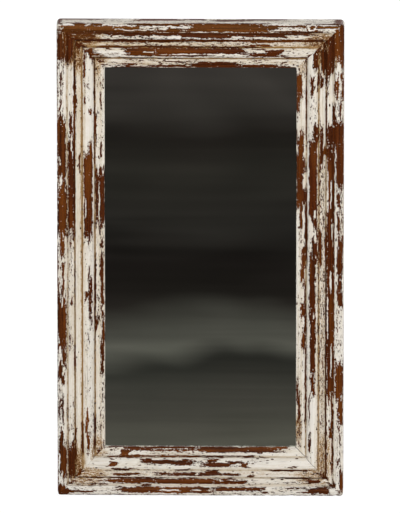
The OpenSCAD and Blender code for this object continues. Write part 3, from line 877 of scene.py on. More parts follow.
FLAKING = {
    # from, to, near, far, and how far gone it is
    "top_rail": [
        (0, 450, -35, -1, 0.6), (8, 66, 14, 31, 1.12), (52, 100, 13, 18, 0.8),
        (72, 112, 43, 54, 0.6), (55, 80, 56, 73, 0.8),
        (60, 205, 0, 14, 0.8), (326, 440, -1, 14, 0.8), (60, 400, 60, 68, 0.62),
        (60, 410, 67, 75, 0.95), (60, 420, 29, 38, 0.68), (155, 176, 43, 48, 0.7),
        (205, 262, 12, 14, 0.7), (60, 430, 16, 27, 0.75), (290, 400, 41, 57, 0.55),
        (240, 330, 50, 57, 0.8), (90, 170, 40, 57, 0.7), (60, 420, 57, 60, 0.9),
    ],
    "left_stile": [
        (0, 760, -35, -1, 0.68), (55, 155, 0, 12, 0.78), (60, 120, 15, 27, 0.5),
        (85, 118, 41, 52, 0.7), (55, 110, 58, 75, 0.7),
        (355, 366, 45, 55, 0.6), (500, 525, 44, 53, 0.7), (570, 586, 45, 52, 0.7),
        (640, 672, 60, 69, 0.7), (560, 690, 1, 12, 0.78), (330, 440, 1, 14, 0.78),
        (320, 540, 16, 26, 0.66), (130, 232, 60, 74, 0.55), (330, 500, 62, 75, 0.62),
        (480, 690, 66, 75, 0.74), (600, 700, 14, 30, 0.6), (620, 720, 42, 58, 0.6),
        (330, 640, 42, 57, 0.42), (60, 700, 58, 60.5, 0.7),
    ],
    "right_stile": [
        (0, 760, -35, -1, 0.68), (262, 372, 0, 12, 0.9), (190, 332, 35, 40.5, 0.85),
        (371, 600, 36.5, 42, 0.88), (75, 160, 0, 16, 0.85), (330, 385, 60, 70, 0.7),
        (45, 100, 22, 42, 0.8),
        (402, 545, 1, 13, 0.72), (20, 120, 58, 75, 0.7), (75, 170, 41, 56, 0.6),
        (600, 740, 24, 42, 0.7), (600, 730, 1, 14, 0.65), (330, 640, 29, 39, 0.85),
        (200, 330, 29, 39, 0.8), (630, 700, 64, 75, 0.75), (400, 640, 56, 75, 0.5),
        (190, 600, 14, 27, 1.0), (190, 470, 41, 57, 0.6),
    ],
    "bottom_rail": [
        (0, 450, -35, -1, 0.78), (200, 262, 49, 57, 0.7), (308, 328, 49, 57, 0.6),
        (14, 80, 14, 26, 0.75), (380, 440, 3, 16, 0.7), (150, 240, 60, 70, 0.75),
        (242, 330, 2, 10, 0.7), (60, 110, 60, 75, 0.6), (20, 100, 2, 14, 0.68),
        (60, 240, 30, 40, 0.6), (80, 230, 0, 6, 0.7), (290, 410, 17, 27, 0.6), (110, 180, 42, 50, 0.6),
        (330, 440, 1, 14, 0.7), (380, 440, 28, 42, 0.6),
    ],
}
SMEARED = {
    # middle and half length along, middle and half width across, strength
    "top_rail": [
        (36, 36, 24, 16, 1.15), (64, 18, 62, 10, 0.6), (418, 30, 30, 14, 0.85), (225, 300, 33, 5, 0.30),
        (225, 320, 66, 6, 0.22),
    ],
    "left_stile": [
        (36, 32, 22, 15, 1.15), (56, 30, 34, 8, 0.8), (66, 22, 64, 9, 0.5), (712, 36, 30, 13, 0.75),
        (690, 26, 62, 12, 0.6),
    ],
    "right_stile": [
        (44, 34, 26, 16, 1.15), (700, 48, 30, 14, 0.55), (655, 24, 71, 6, 0.6), (470, 240, 33, 6, 0.30),
        (60, 30, 66, 10, 0.4),
    ],
    "bottom_rail": [
        (46, 36, 30, 16, 0.55), (64, 14, 66, 9, 0.45), (408, 40, 30, 15, 0.5), (225, 260, 34, 5, 0.25),
    ],
}
MITRE_WORN = {
    # end of the member, from and to across it, and reach along it
    "top_rail": [(0, 14, 30, 16), (0, 33, 41, 7), (0, 42, 55, 13), (0, 60, 66, 8), (1, 50, 57, 4)],
    "left_stile": [(0, 30, 38, 6), (0, 40, 48, 9), (0, 52, 60, 7), (1, 28, 40, 5), (1, 62, 70, 6)],
    "right_stile": [(0, 10, 33, 14), (0, 36, 47, 9), (0, 58, 62, 6), (1, 24, 32, 5), (1, 12, 17, 8)],
    "bottom_rail": [(0, 30, 38, 4), (0, 17, 24, 8), (1, 27, 36, 6), (1, 14, 22, 5)],
}
# place along the member, and depth
EDGE_CHIPS = {"right_stile": [(48, 2.2), (61, 2.6), (73, 1.8), (395, 0.9), (640, 1.0)]}
print("paint left standing", {name: len(places) for name, places in KEPT.items()})

# %% [markdown]
# The lists become numbers on every point. Each place is deepest in its middle and crosses zero at
# its edge, with a long slope along the grain and a short one across it. That is why the shader's
# streaks can push an end by centimetres and a side by no more than a millimetre. The streaks eat
# into a place from both sides, so each worn place is first grown by a little.

# %% Read the lists at every point
END_SLOPE = (0.30, 4.0, 22.0)
SIDE_SLOPE = (0.40, 0.8, 2.2)
GROWN_ALONG = 1.5
GROWN_ACROSS = 0.35
SOUND_PAINT = -0.85
FLAKING_PAINT = -0.05
FLAKING_INSET = 0.5
MITRE_WORN_DEPTH = 0.7


def slope_of(size, rule):
    """A share of a place's size, kept between a least and a greatest slope."""
    share, least, greatest = rule
    return min(max(share * size, least), greatest)


def depth_in(place, along, across):
    """How deep each point lies in a place: 1 well inside, 0 on its edge, -1 well outside."""
    begin, end, near, far = place[:4]
    centred = abs(along - (begin + end) / 2)
    ends = ((end - begin) / 2 - centred) / slope_of(end - begin, END_SLOPE)
    sides = np.minimum(across - near, far - across) / slope_of(far - near, SIDE_SLOPE)
    return np.clip(np.minimum(ends, sides), -1, 1)


def worn_at(member, along, across):
    """How worn each point is, from -1 for sound paint to 1 for wood."""
    worn = np.full(len(along), SOUND_PAINT)
    for place in FLAKING[member]:
        inside = place[4] * np.clip(depth_in(place, along, across) + FLAKING_INSET, 0, 1)
        worn = np.maximum(worn, SOUND_PAINT + inside * (FLAKING_PAINT - SOUND_PAINT))
    for begin, end, near, far in WORN[member]:
        place = (begin - GROWN_ALONG, end + GROWN_ALONG, near - GROWN_ACROSS, far + GROWN_ACROSS)
        worn = np.maximum(worn, depth_in(place, along, across))
    for place in KEPT[member]:
        worn = np.minimum(worn, -depth_in(place, along, across))
    return worn


def smear_at(member, along, across):
    """How thickly glaze lies on each point."""
    smear = np.zeros(len(along))
    for middle, half_long, centre, half_wide, strength in SMEARED[member]:
        reach = ((along - middle) / half_long) ** 2 + ((across - centre) / half_wide) ** 2
        smear = np.maximum(smear, strength * np.exp(-(reach**2)))
    return smear


slopes = slope_of(100, END_SLOPE), slope_of(3, SIDE_SLOPE)
print("slope in mm of a place 100 mm long", slopes[0], "and of one 3 mm wide", round(slopes[1], 2))

# %% [markdown]
# Wear doesn't stop at a joint, because the frame was painted and rubbed after it was glued up. If
# each member kept to its own lists, every mitre would show as a ruled line. So close to a mitre a
# member also reads its neighbour's lists, more of them in some tongues than in others, and on the
# mitre line itself the two agree. Here and there wear follows the joint.

# %% Wear that runs over the joints
FRAME_WIDE = cad_high.x - cad_low.x
FRAME_HIGH = cad_high.z - cad_low.z
MEMBER_LENGTH = {
    "top_rail": FRAME_WIDE,
    "left_stile": FRAME_HIGH,
    "right_stile": FRAME_HIGH,
    "bottom_rail": FRAME_WIDE,
}
NEIGHBOURS = {
    # the member met at the start and at the end, and whether it is its own start that is met
    "top_rail": (("left_stile", True), ("right_stile", True)),
    "left_stile": (("top_rail", True), ("bottom_rail", True)),
    "right_stile": (("top_rail", False), ("bottom_rail", False)),
    "bottom_rail": (("left_stile", False), ("right_stile", False)),
}
SHARED_REACH = 12.0


def shared_with_neighbour(member, end, worn, from_corner, from_mitre, across, tongues):
    """Wear runs on over a joint in ragged tongues. On the mitre line both members end up alike."""
    neighbour, own_start = NEIGHBOURS[member][end]
    near = from_mitre < SHARED_REACH
    beside = across[near] if own_start else MEMBER_LENGTH[neighbour] / MM - across[near]
    theirs = worn_at(neighbour, beside, from_corner[near])
    side = -1 if "stile" in member else 1
    share = 0.5 * (1 + side * tongues[near]) * (1 - np.maximum(from_mitre[near], 0) / SHARED_REACH)
    worn[near] += share * (theirs - worn[near])
    return worn


def worn_at_mitres(member, from_ends, across):
    """Wear that follows the mitres, deepest on the joint."""
    worn = np.full(len(across), -1.0)
    for end, near, far, reach in MITRE_WORN[member]:
        ends = MITRE_WORN_DEPTH * (1 - from_ends[end] / reach)
        sides = np.minimum(across - near, far - across) / SIDE_SLOPE[2]
        worn = np.maximum(worn, np.minimum(ends, sides))
    return np.clip(worn, -1, 1)


print("wear is shared over", SHARED_REACH, "mm on each side of a mitre")

# %% [markdown]
# Dirt needs no list, because it follows the moulding: it gathers in the hollows. A few soft humps
# over the bands say how stained each one is, highest in the fine quirks beside the cove, and a faint
# one darkens the outer sides. Each member's stain is then scaled, and that scaling also paints light
# and shade: the bottom rail is kept paler and the left stile darker, to even out how the lamps light
# them. Bare wood on the outer bead is made lighter, most of all on the top rail: partly polish from
# hands, partly a painted sheen.

# %% Stain by band, with painted light and shade per member
STAIN_HUMPS = [
    # middle of the hump, half its width, and its strength
    (16.5, 1.8, 0.60), (28.2, 1.7, 0.90), (33.0, 6.0, 0.34), (37.6, 2.0, 0.62), (39.6, 1.8, 1.05),
    (43.0, 2.5, 0.35), (59.4, 1.6, 0.85), (67.0, 7.0, 0.38), (22.5, 4.0, 0.25), (-18.0, 17.0, 0.14),
]
STAIN_LEAST = 0.10
# stain per member; besides real stain it paints light and shade: bottom rail paler, left stile darker
STAIN_AND_SHADE_OF = {"top_rail": 1.40, "left_stile": 1.35, "right_stile": 1.05, "bottom_rail": 0.62}
# lightening of bare wood per member: polish, and a painted sheen strongest on the top rail
POLISH_AND_SHEEN_OF = {"top_rail": 0.9, "left_stile": 0.22, "right_stile": 0.08, "bottom_rail": 0.20}
POLISH_AND_SHEEN_MIDDLE = 7
POLISH_AND_SHEEN_FADE = 14
POLISH_AND_SHEEN_PEAK = 0.9
POLISH_AND_SHEEN_MOST = 0.8


def stain_at(across):
    """How stained the paint is, from 0 for clean to 1 for brown."""
    stain = np.full(len(across), STAIN_LEAST)
    for middle, half, strength in STAIN_HUMPS:
        stain = np.maximum(stain, strength * np.exp(-(((across - middle) / half) ** 2)))
    return stain


def polish_and_sheen_at(member, across):
    """How much bare wood is lightened, partly by polish from hands and partly as a painted sheen: most
    on the outer bead, least inside.
    """
    fallen = np.abs(across - POLISH_AND_SHEEN_MIDDLE) / POLISH_AND_SHEEN_FADE
    return POLISH_AND_SHEEN_OF[member] * np.clip(POLISH_AND_SHEEN_PEAK - fallen, 0.0, POLISH_AND_SHEEN_MOST)


print("stain in the cove", round(float(stain_at(np.array([33.0]))[0]), 2))

# %% [markdown]
# A list of plain boxes would give plain boxes of wear. Before a point looks itself up in the lists,
# noise pulls its place about, by centimetres along the grain and by a millimetre across it. Near a
# mitre it is pulled less, so that the two members still agree there.

# %% Let the places drift
# a wave is given by its length along the wood and its width round the moulding, in millimetres
DRIFT_FAR = 15.0
DRIFT_FAR_WAVE = (34, 6)
DRIFT_NEAR = 9.0
DRIFT_NEAR_WAVE = (10, 2.2)
DRIFT_ACROSS = 1.3
DRIFT_ACROSS_WAVE = (12, 9)
DRIFT_LEAST = 0.2
DRIFT_FULL = 60.0


def noise_at(along, around, wave, seed):
    """Smooth noise at every point, from about -1 to 1, in waves of one size."""
    places = zip((along / wave[0]).tolist(), (around / wave[1]).tolist())
    return np.array([noise.noise((a, b, seed)) for a, b in places])


def drifted(along, across, girth, from_mitre, seed):
    """Places pulled about along the grain and a little across it, so that no box keeps its corners."""
    free = np.clip(from_mitre / DRIFT_FULL, DRIFT_LEAST, 1)
    far_pull = DRIFT_FAR * noise_at(along, girth, DRIFT_FAR_WAVE, seed + 11)
    near_pull = DRIFT_NEAR * noise_at(along, girth, DRIFT_NEAR_WAVE, seed + 13)
    sideways = DRIFT_ACROSS * noise_at(along, girth, DRIFT_ACROSS_WAVE, seed + 17)
    return along + free * (far_pull + near_pull), across + sideways


print("places drift along the wood by up to", DRIFT_FAR + DRIFT_NEAR, "mm")

# %% [markdown]
# The last step is a sculptor's: hand-planed beads aren't straight, knocks leave dents, chips run
# along an arris, and the film of paint has its own thickness. Every move goes inwards, so the
# frame never grows past the imported model.

# %% Age the surface of a member
WOBBLE = 0.45
WOBBLE_WAVE = (70, 30)
PAINT_T = 0.30
ARRISES = [
    # place across, half its width, and how much of a chip it takes
    (0.0, 1.5, 1.0), (15.0, 1.2, 0.6),
]
ARRIS_CHIP = 1.6
ARRIS_WAVE = (9, 9)
ARRIS_SOUND = 0.15
EDGE_CHIP_SIZE = (6.0, 5.0)
FILM_STEEP = 2
DENTS = 26
DENT_FROM_END = 10
DENT_LONG = 2
DENT_DEEP = (0.3, 1.0)
DENT_WIDE = (1.5, 5.0)


def inward_moves(member, seed, along, across, girth, length, worn):
    """How far each point is pushed in, in millimetres."""
    push = WOBBLE * (0.5 + 0.5 * noise_at(along, girth, WOBBLE_WAVE, seed))
    push += PAINT_T * np.clip(worn * FILM_STEEP + 0.5, 0, 1)
    arris = sum(share * np.exp(-(((across - place) / half) ** 2)) for place, half, share in ARRISES)
    chipped = np.clip(noise_at(along, girth, ARRIS_WAVE, seed + 5) - ARRIS_SOUND, 0, 1)
    push += arris * ARRIS_CHIP * chipped
    for middle, deep in EDGE_CHIPS.get(member, ()):
        reach = np.hypot((along - middle) / EDGE_CHIP_SIZE[0], across / EDGE_CHIP_SIZE[1])
        push += deep * np.clip(1 - reach, 0, 1)
    dice = random.Random(seed)
    for _ in range(DENTS):
        middle = dice.uniform(DENT_FROM_END, length - DENT_FROM_END)
        around = dice.uniform(0, girth.max())
        wide = dice.uniform(*DENT_WIDE)
        reach = np.hypot((along - middle) / (DENT_LONG * wide), (girth - around) / wide)
        push += dice.uniform(*DENT_DEEP) * np.clip(1 - reach**2, 0, 1)
    return push


print("paint film in mm", PAINT_T, "and deepest dent", DENT_DEEP[1])

# %% [markdown]
# Near the top right corner a ring of paint has lifted. It could be modelled as a loose curl, but at
# this size it is seen only as a pale ring with a dark groove beside it, so it is worked into the
# wear as a circle that a few waves have bent out of round.

# %% A ring of lifted paint
RING_MEMBER = "top_rail"
RING_MIDDLE = (400, 5.8)
RING_RADIUS = 4.4
RING_DRAWN_OUT = 1.35
RING_WAVES = [
    # size in mm, waves round the ring, and how far they are turned
    (0.6, 2, 0.7), (0.35, 5, 0.0),
]
RING_HALF = 1.2
RING_UNEVEN = 0.4
RING_SLOPE = 0.9
RING_GAP = (-2.6, 0.5)
GROOVE_OUT = 2.4
GROOVE_SIDE = (2.0, 1.5)
HOLE_IN = 1.4
HOLE_WORN = 0.6


def add_lifted_ring(member, along, across, worn):
    """A ring of paint that has lifted near the top right corner, with bare wood round it."""
    if member != RING_MEMBER:
        return worn
    sideways = along - RING_MIDDLE[0]
    inwards = across - RING_MIDDLE[1]
    reach = np.hypot(sideways / RING_DRAWN_OUT, inwards)
    around = np.arctan2(inwards, sideways)
    reach += sum(size * np.sin(count * around + turned) for size, count, turned in RING_WAVES)
    groove = 1 - np.abs(reach - RING_RADIUS - GROOVE_OUT)
    grooved = np.abs(around - GROOVE_SIDE[0]) < GROOVE_SIDE[1]
    worn = np.maximum(worn, np.where(grooved, groove, -1))
    worn = np.maximum(worn, np.clip(RING_RADIUS - HOLE_IN - reach, -1, HOLE_WORN))
    half = RING_HALF + RING_UNEVEN * np.sin(3 * around)
    ring = np.clip(half - np.abs(reach - RING_RADIUS) / RING_SLOPE, -1, 1)
    gap = np.abs(around - RING_GAP[0]) < RING_GAP[1]
    return np.minimum(worn, np.where(gap, 1, -ring))


print("the ring is", 2 * RING_RADIUS, "mm across")

# %% [markdown]
# Now everything is brought together for all points of a member at once. Arrays keep this quick,
# because one sum serves all the points, and only the noise has to be asked for each of them. On the
# sides the paint just laps round, so the wood further back was never painted. Two members share a
# mitre that has opened, a little wider towards the glass.

# %% Everything known about a member's points
OPEN_MITRES = {"right_stile": 1.4, "bottom_rail": -1.4}
TONGUE_WAVE = (5, 5)
TONGUE_SHARP = 1.7
LAP_MEAN = 4.5
LAP_UNEVEN = 3.5
LAP_WAVE = (48, 60)
LAP_SLOPE = 3
LAP_FROM = -20
OPEN_FROM = 30
GAPE_LEAST = 0.5
GAPE_GROWS = 2.2
GAPE_WANDERS = 1.5
GAPE_WAVE = (4, 50)
SHUT = 0.12
NEVER_ZERO = 1e-9


def read_numbers(source, name, count, wide):
    """Reads one or three numbers for every point."""
    values = np.empty(count * wide)
    source.foreach_get(name, values)
    return values.reshape(count, wide)


class MemberPoints:
    """What is known of every point of a member: its place in metres, the rest in millimetres."""

    def __init__(self, mesh, member, seed):
        count = len(mesh.vertices)
        standing = "stile" in member
        self.co = read_numbers(mesh.vertices, "co", count, 3)
        self.normal = read_numbers(mesh.vertex_normals, "vector", count, 3)
        self.normal[:, 2 if standing else 0] = 0
        size = np.linalg.norm(self.normal, axis=1, keepdims=True)
        self.normal /= np.maximum(size, NEVER_ZERO)
        self.girth = read_numbers(mesh.attributes["girth"].data, "value", count, 1)[:, 0]
        self.across = read_numbers(mesh.attributes["across"].data, "value", count, 1)[:, 0]
        self.length = MEMBER_LENGTH[member] / MM
        self.along = (cad_high.z - self.co[:, 2] if standing else self.co[:, 0] - cad_low.x) / MM
        self.sunk = np.clip(self.across, 0, MOULDING)
        self.from_ends = (self.along - self.sunk, self.length - self.along - self.sunk)
        self.from_mitre = np.minimum(*self.from_ends)
        self.drifted = drifted(self.along, self.across, self.girth, self.from_mitre, seed)


def wear_of(member, points, seed):
    """All the wear of one member, from -1 for sound paint to 1 for wood."""
    worn = worn_at(member, *points.drifted)
    tongues = TONGUE_SHARP * noise_at(points.co[:, 0] / MM, points.co[:, 2] / MM, TONGUE_WAVE, 0.5)
    tongues = np.clip(tongues, -1, 1)
    for end, from_corner in enumerate((points.along, points.length - points.along)):
        worn = shared_with_neighbour(
            member, end, worn, from_corner, points.from_ends[end], points.sunk, tongues
        )
    worn = np.maximum(worn, worn_at_mitres(member, points.from_ends, points.drifted[1]))
    worn = add_lifted_ring(member, points.along, points.across, worn)
    lap = LAP_MEAN + LAP_UNEVEN * noise_at(points.along, points.girth, LAP_WAVE, seed + 23)
    unpainted = np.clip((-points.across - OUTER_CROWN + OUTER_RISE - lap) / LAP_SLOPE, -1, 1)
    return np.maximum(worn, np.where(points.across < LAP_FROM, unpainted, -1))


def gape_of(member, points):
    """How far the mitre has opened at each point, counted in hairlines."""
    wander = OPEN_MITRES.get(member, 0.0) * noise_at(points.girth, points.girth, GAPE_WAVE, 0)
    inside = np.clip((points.across - OPEN_FROM) / MOULDING, 0, 1)
    gape = GAPE_LEAST + GAPE_GROWS * inside + GAPE_WANDERS * wander
    opens = (points.along > points.length / 2) & (points.across > OPEN_FROM)
    return np.where(opens & (member in OPEN_MITRES), gape, SHUT)


print("the paint laps round the side by", LAP_MEAN, "mm, give or take", LAP_UNEVEN)

# %% [markdown]
# Each member is cut, turned into its place and made a mesh. Its points are pushed in, less and less
# towards a mitre so that the joint stays shut, and what is known about them is stored as
# attributes, which the painted wood reads by name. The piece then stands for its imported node.

# %% Make the four members
MITRE_FADE = 4.0
SEED_APART = 3.7
MEMBER_TURNS = {"top_rail": 0, "left_stile": -90, "right_stile": 90, "bottom_rail": 180}


def store(mesh, name, columns):
    """Keeps three numbers per point under a name."""
    attribute = mesh.attributes.new(name, "FLOAT_VECTOR", "POINT")
    attribute.data.foreach_set("vector", np.column_stack(columns).astype(np.float32).ravel())


def make_member(member, turn, seed):
    """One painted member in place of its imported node."""
    short_side = FRAME_WIDE if "stile" in member else FRAME_HIGH
    bm = mitred_member(MEMBER_LENGTH[member], short_side / 2)
    bmesh.ops.rotate(bm, verts=bm.verts[:], matrix=Matrix.Rotation(math.radians(turn), 3, "Y"))
    mesh = bpy.data.meshes.new("painted_" + member)
    bm.to_mesh(mesh)
    bm.free()
    points = MemberPoints(mesh, member, seed)
    worn = wear_of(member, points, seed)
    push = inward_moves(
        member, seed, points.along, points.across, points.girth, points.length, worn
    )
    push *= np.clip(points.from_mitre / MITRE_FADE, 0, 1)
    push *= points.across > -OUTER_CROWN + OUTER_RISE + 1
    mesh.vertices.foreach_set("co", (points.co - points.normal * push[:, None] * MM).ravel())
    own_number = np.full(len(worn), seed * SEED_APART)
    store(mesh, "moulding_place", [points.along * MM, points.girth * MM, own_number])
    # the stain is scaled per member, and the scaling also paints light and shade
    stain = STAIN_AND_SHADE_OF[member] * stain_at(points.across)
    store(mesh, "wear", [worn, stain, smear_at(member, *points.drifted)])
    lightened_wood = polish_and_sheen_at(member, points.across)
    store(mesh, "mitre", [np.maximum(points.from_mitre, 0) * MM, gape_of(member, points), lightened_wood])
    mesh.shade_smooth()
    mesh.materials.append(painted_wood)
    piece = bpy.data.objects.new("painted_" + member, mesh)
    scene.collection.objects.link(piece)
    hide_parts(member)
    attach(piece, "frame")
    print(piece.name, "points", len(worn), "pushed in by up to", round(float(push.max()), 1), "mm")


for number, (member, turn) in enumerate(MEMBER_TURNS.items()):
    make_member(member, turn, number + 1)

# %% [markdown]
# Silvered glass is a mirror behind four millimetres of clear glass. Seen from a distance the glass
# adds only a faint green cast, so a metal with that cast and almost no roughness is the honest short
# way. Real glass in front would cost many light bounces and show nothing more.

# %% Mirror glass
HAZE_RANGE = (0.35, 0.75)
HAZE_ROUGH = (0.015, 0.045)
CAST_RANGE = (0.3, 0.7)
CAST_PALE = seen(236, 241, 238)
CAST_GREEN = seen(228, 235, 231)

mirror_glass, tree, shader = start_material("mirror_glass")
place = put(tree, "ShaderNodeTexCoord").outputs["Object"]
haze = put(tree, "ShaderNodeTexNoise", {"Vector": place, "Scale": 9.0, "Detail": 4.0}).outputs[0]
rough = spread(tree, haze, *HAZE_RANGE, *HAZE_ROUGH)
tree.links.new(rough, shader.inputs["Roughness"])
cast = blend_colours(tree, spread(tree, haze, *CAST_RANGE), CAST_PALE, CAST_GREEN)
tree.links.new(cast, shader.inputs["Base Color"])
shader.inputs["Metallic"].default_value = 1.0
print("mirror glass has", len(tree.nodes), "nodes")

# %% [markdown]
# The hidden pieces are plain, but each one is still what it is. Beech shows short grain, cork is a
# crowd of dark and light grains, packing board has loose fibres, and rubber is dull. They read
# Object coordinates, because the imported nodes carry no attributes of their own.

# %% Plain finishes behind the mirror
GRAIN_DEPTH = 0.2 * MM
ALONG_Z = (2, 0, 1)
FINER = 2.5
CELL_SHARE = 0.6
FINE_SHARE = 0.4


def turned_place(tree):
    """Object coordinates with the long axis first, as the streaks want it."""
    split = put(tree, "ShaderNodeSeparateXYZ", {0: put(tree, "ShaderNodeTexCoord").outputs["Object"]})
    x, y, z = (split.outputs[i] for i in ALONG_Z)
    return put(tree, "ShaderNodeCombineXYZ", {0: x, 1: y, 2: z}).outputs[0]


def wooden(name, dark, middle, light, rough, mottle=0.3):
    """A wooden finish with the grain effect."""
    material, tree, shader = start_material(name)
    place = turned_place(tree)
    grain = place_group(
        tree,
        wood_grain,
        {"Place": place, "Mottle": mottle, "Dark": dark, "Middle": middle, "Light": light},
    )
    tree.links.new(grain["Color"], shader.inputs["Base Color"])
    shader.inputs["Roughness"].default_value = rough
    bump(tree, shader, grain["Height"], GRAIN_DEPTH)
    return material


def speckled(name, first, second, scale, rough, depth):
    """A grainy finish: cells of two colours, raised and sunk."""
    material, tree, shader = start_material(name)
    place = put(tree, "ShaderNodeTexCoord").outputs["Object"]
    cells = put(tree, "ShaderNodeTexVoronoi", {"Vector": place, "Scale": scale})
    fine = put(tree, "ShaderNodeTexNoise", {"Vector": place, "Scale": scale * FINER, "Detail": 3.0})
    share = put(tree, "ShaderNodeSeparateColor", {0: cells.outputs["Color"]}).outputs[0]
    share = add_shares(tree, 0.0, (share, CELL_SHARE), (fine.outputs[0], FINE_SHARE))
    colour = blend_colours(tree, share, first, second)
    tree.links.new(colour, shader.inputs["Base Color"])
    shader.inputs["Roughness"].default_value = rough
    bump(tree, shader, share, depth)
    return material


beech = wooden("beech", seen(150, 105, 66), seen(196, 150, 104), seen(214, 172, 126), 0.6)
plywood = wooden("plywood", seen(138, 100, 62), seen(172, 130, 84), seen(190, 149, 101), 0.62)
cork = speckled("cork", seen(112, 74, 44), seen(184, 140, 94), 900, 0.85, 0.2 * MM)
packing_board = speckled("packing_board", seen(140, 116, 86), seen(176, 150, 116), 400, 0.9, 0.1 * MM)
bumper_rubber = speckled("bumper_rubber", seen(34, 34, 35), seen(48, 47, 46), 1500, 0.75, 0.05 * MM)
print("finishes", [m.name for m in bpy.data.materials])

# %% [markdown]
# Zinc plate is bright but not polished: a cool grey with cloudy patches and fine scratches. Steel
# with a roughness that changes from patch to patch catches the light in the same broken way.

# %% Zinc plated steel
ZINC_GREY = seen(176, 179, 184)
ZINC_PALE = seen(208, 209, 207)
ZINC_CLOUDS = (0.3, 0.7)
ZINC_ROUGH = (0.26, 0.46)
SCRATCH_HEIGHT = 0.2
ZINC_DEPTH = 0.02 * MM

zinc_steel, tree, shader = start_material("zinc_steel")
place = put(tree, "ShaderNodeTexCoord").outputs["Object"]
clouds = put(tree, "ShaderNodeTexNoise", {"Vector": place, "Scale": 260.0, "Detail": 4.0}).outputs[0]
scratches = streak(tree, turned_place(tree), 60, 5200, 1.0)
colour = blend_colours(tree, clouds, ZINC_GREY, ZINC_PALE)
tree.links.new(colour, shader.inputs["Base Color"])
rough = spread(tree, clouds, *ZINC_CLOUDS, *ZINC_ROUGH)
tree.links.new(rough, shader.inputs["Roughness"])
shader.inputs["Metallic"].default_value = 1.0
bump(tree, shader, add_shares(tree, clouds, (scratches, SCRATCH_HEIGHT)), ZINC_DEPTH)
print("zinc has", len(tree.nodes), "nodes")

# %% [markdown]
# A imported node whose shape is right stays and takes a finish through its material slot. The slots
# are the record's own names, so a short table of names is all that is needed.

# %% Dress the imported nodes
FINISHES = {
    "mirror_glass": mirror_glass,
    "beech": beech,
    "cork": cork,
    "packing_board": packing_board,
    "plywood": plywood,
    "zinc_steel": zinc_steel,
    "bumper_rubber": bumper_rubber,
}
for row in frame["record"]["subparts"]:
    finish = FINISHES.get(row["material_slot"])
    if finish is None:
        continue
    node = nodes[row["node"]]
    node.data.materials.clear()
    node.data.materials.append(finish)

# %% [markdown]
# The fittings behind have their true sizes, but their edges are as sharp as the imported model's, and a
# sharp edge never catches the light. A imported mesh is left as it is, so each fitting gets a copy.
# Its loose triangles are merged, flat faces are joined again, and every hard edge is bevelled. A
# Weighted Normal modifier then keeps the flats flat while the rounds shade smoothly.

# %% Soften the fittings
FLAT_WITHIN = math.radians(1.5)
HARD_EDGE = math.radians(50)
FITTINGS = [
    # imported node, body, slot and rounding in millimetres
    ("left_hanger_strap", "frame", "zinc_steel", 0.25),
    ("right_hanger_strap", "frame", "zinc_steel", 0.25),
    ("left_hanger_ring", "left_ring", "zinc_steel", 0.15),
    ("right_hanger_ring", "right_ring", "zinc_steel", 0.15),
    ("left_hanger_screws", "frame", "zinc_steel", 0.2),
    ("right_hanger_screws", "frame", "zinc_steel", 0.2),
    ("backing_screws", "frame", "zinc_steel", 0.15),
    ("left_wall_bumper", "frame", "bumper_rubber", 0.9),
    ("right_wall_bumper", "frame", "bumper_rubber", 0.9),
]


def softened(node, body, slot, rounding):
    """A copy of a packed fitting with its hard edges rounded."""
    bm = bmesh.new()
    bm.from_mesh(nodes[node].data)
    bmesh.ops.remove_doubles(bm, verts=bm.verts[:], dist=0.002 * MM)
    bmesh.ops.dissolve_limit(bm, angle_limit=FLAT_WITHIN, verts=bm.verts[:], edges=bm.edges[:])
    hard = [e for e in bm.edges if e.is_manifold and e.calc_face_angle() > HARD_EDGE]
    bmesh.ops.bevel(
        bm,
        geom=hard,
        affect="EDGES",
        offset=rounding * MM,
        segments=2,
        profile=0.5,
        material=-1,
        clamp_overlap=True,
    )
    for face in bm.faces:
        face.smooth = True
    mesh = bpy.data.meshes.new("soft_" + node)
    bm.to_mesh(mesh)
    bm.free()
    mesh.materials.append(FINISHES[slot])
    piece = bpy.data.objects.new("soft_" + node, mesh)
    scene.collection.objects.link(piece)
    piece.modifiers.new("flats", "WEIGHTED_NORMAL").keep_sharp = True
    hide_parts(node)
    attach(piece, body)
    print(piece.name, "hard edges", len(hard), "faces", len(mesh.polygons))


for fitting in FITTINGS:
    softened(*fitting)

# %% [markdown]
# The stage is a plain pale floor and a white surround. Eyes, reflections and clear things see them
# as white, while the floor still takes the object's soft shadow. The light that they give to the
# object is a separate number, so the ground can be white without washing it out.

# %% Floor and surround
FLOOR_HALF = 40.0
FLOOR_GLOW = 0.93
FLOOR_SHADE = 0.15
FLOOR_MATTE = 0.8
SURROUND_LIGHT = 0.33


def seen_directly(tree):
    """1 for the camera, for reflections and through clear things, and 0 for light that is passed on."""
    path = put(tree, "ShaderNodeLightPath").outputs
    share = calc(tree, "ADD", path["Is Camera Ray"], path["Is Glossy Ray"])
    return calc(tree, "MINIMUM", calc(tree, "ADD", share, path["Is Transmission Ray"]), 1.0)


def flat_sheet(name, half_x, half_y, middle):
    """A level rectangle."""
    bm = bmesh.new()
    bmesh.ops.create_grid(bm, x_segments=1, y_segments=1, size=1.0)
    bmesh.ops.scale(bm, verts=bm.verts[:], vec=(half_x, half_y, 1))
    bmesh.ops.translate(bm, verts=bm.verts[:], vec=middle)
    mesh = bpy.data.meshes.new(name)
    bm.to_mesh(mesh)
    bm.free()
    sheet = bpy.data.objects.new(name, mesh)
    scene.collection.objects.link(sheet)
    return sheet


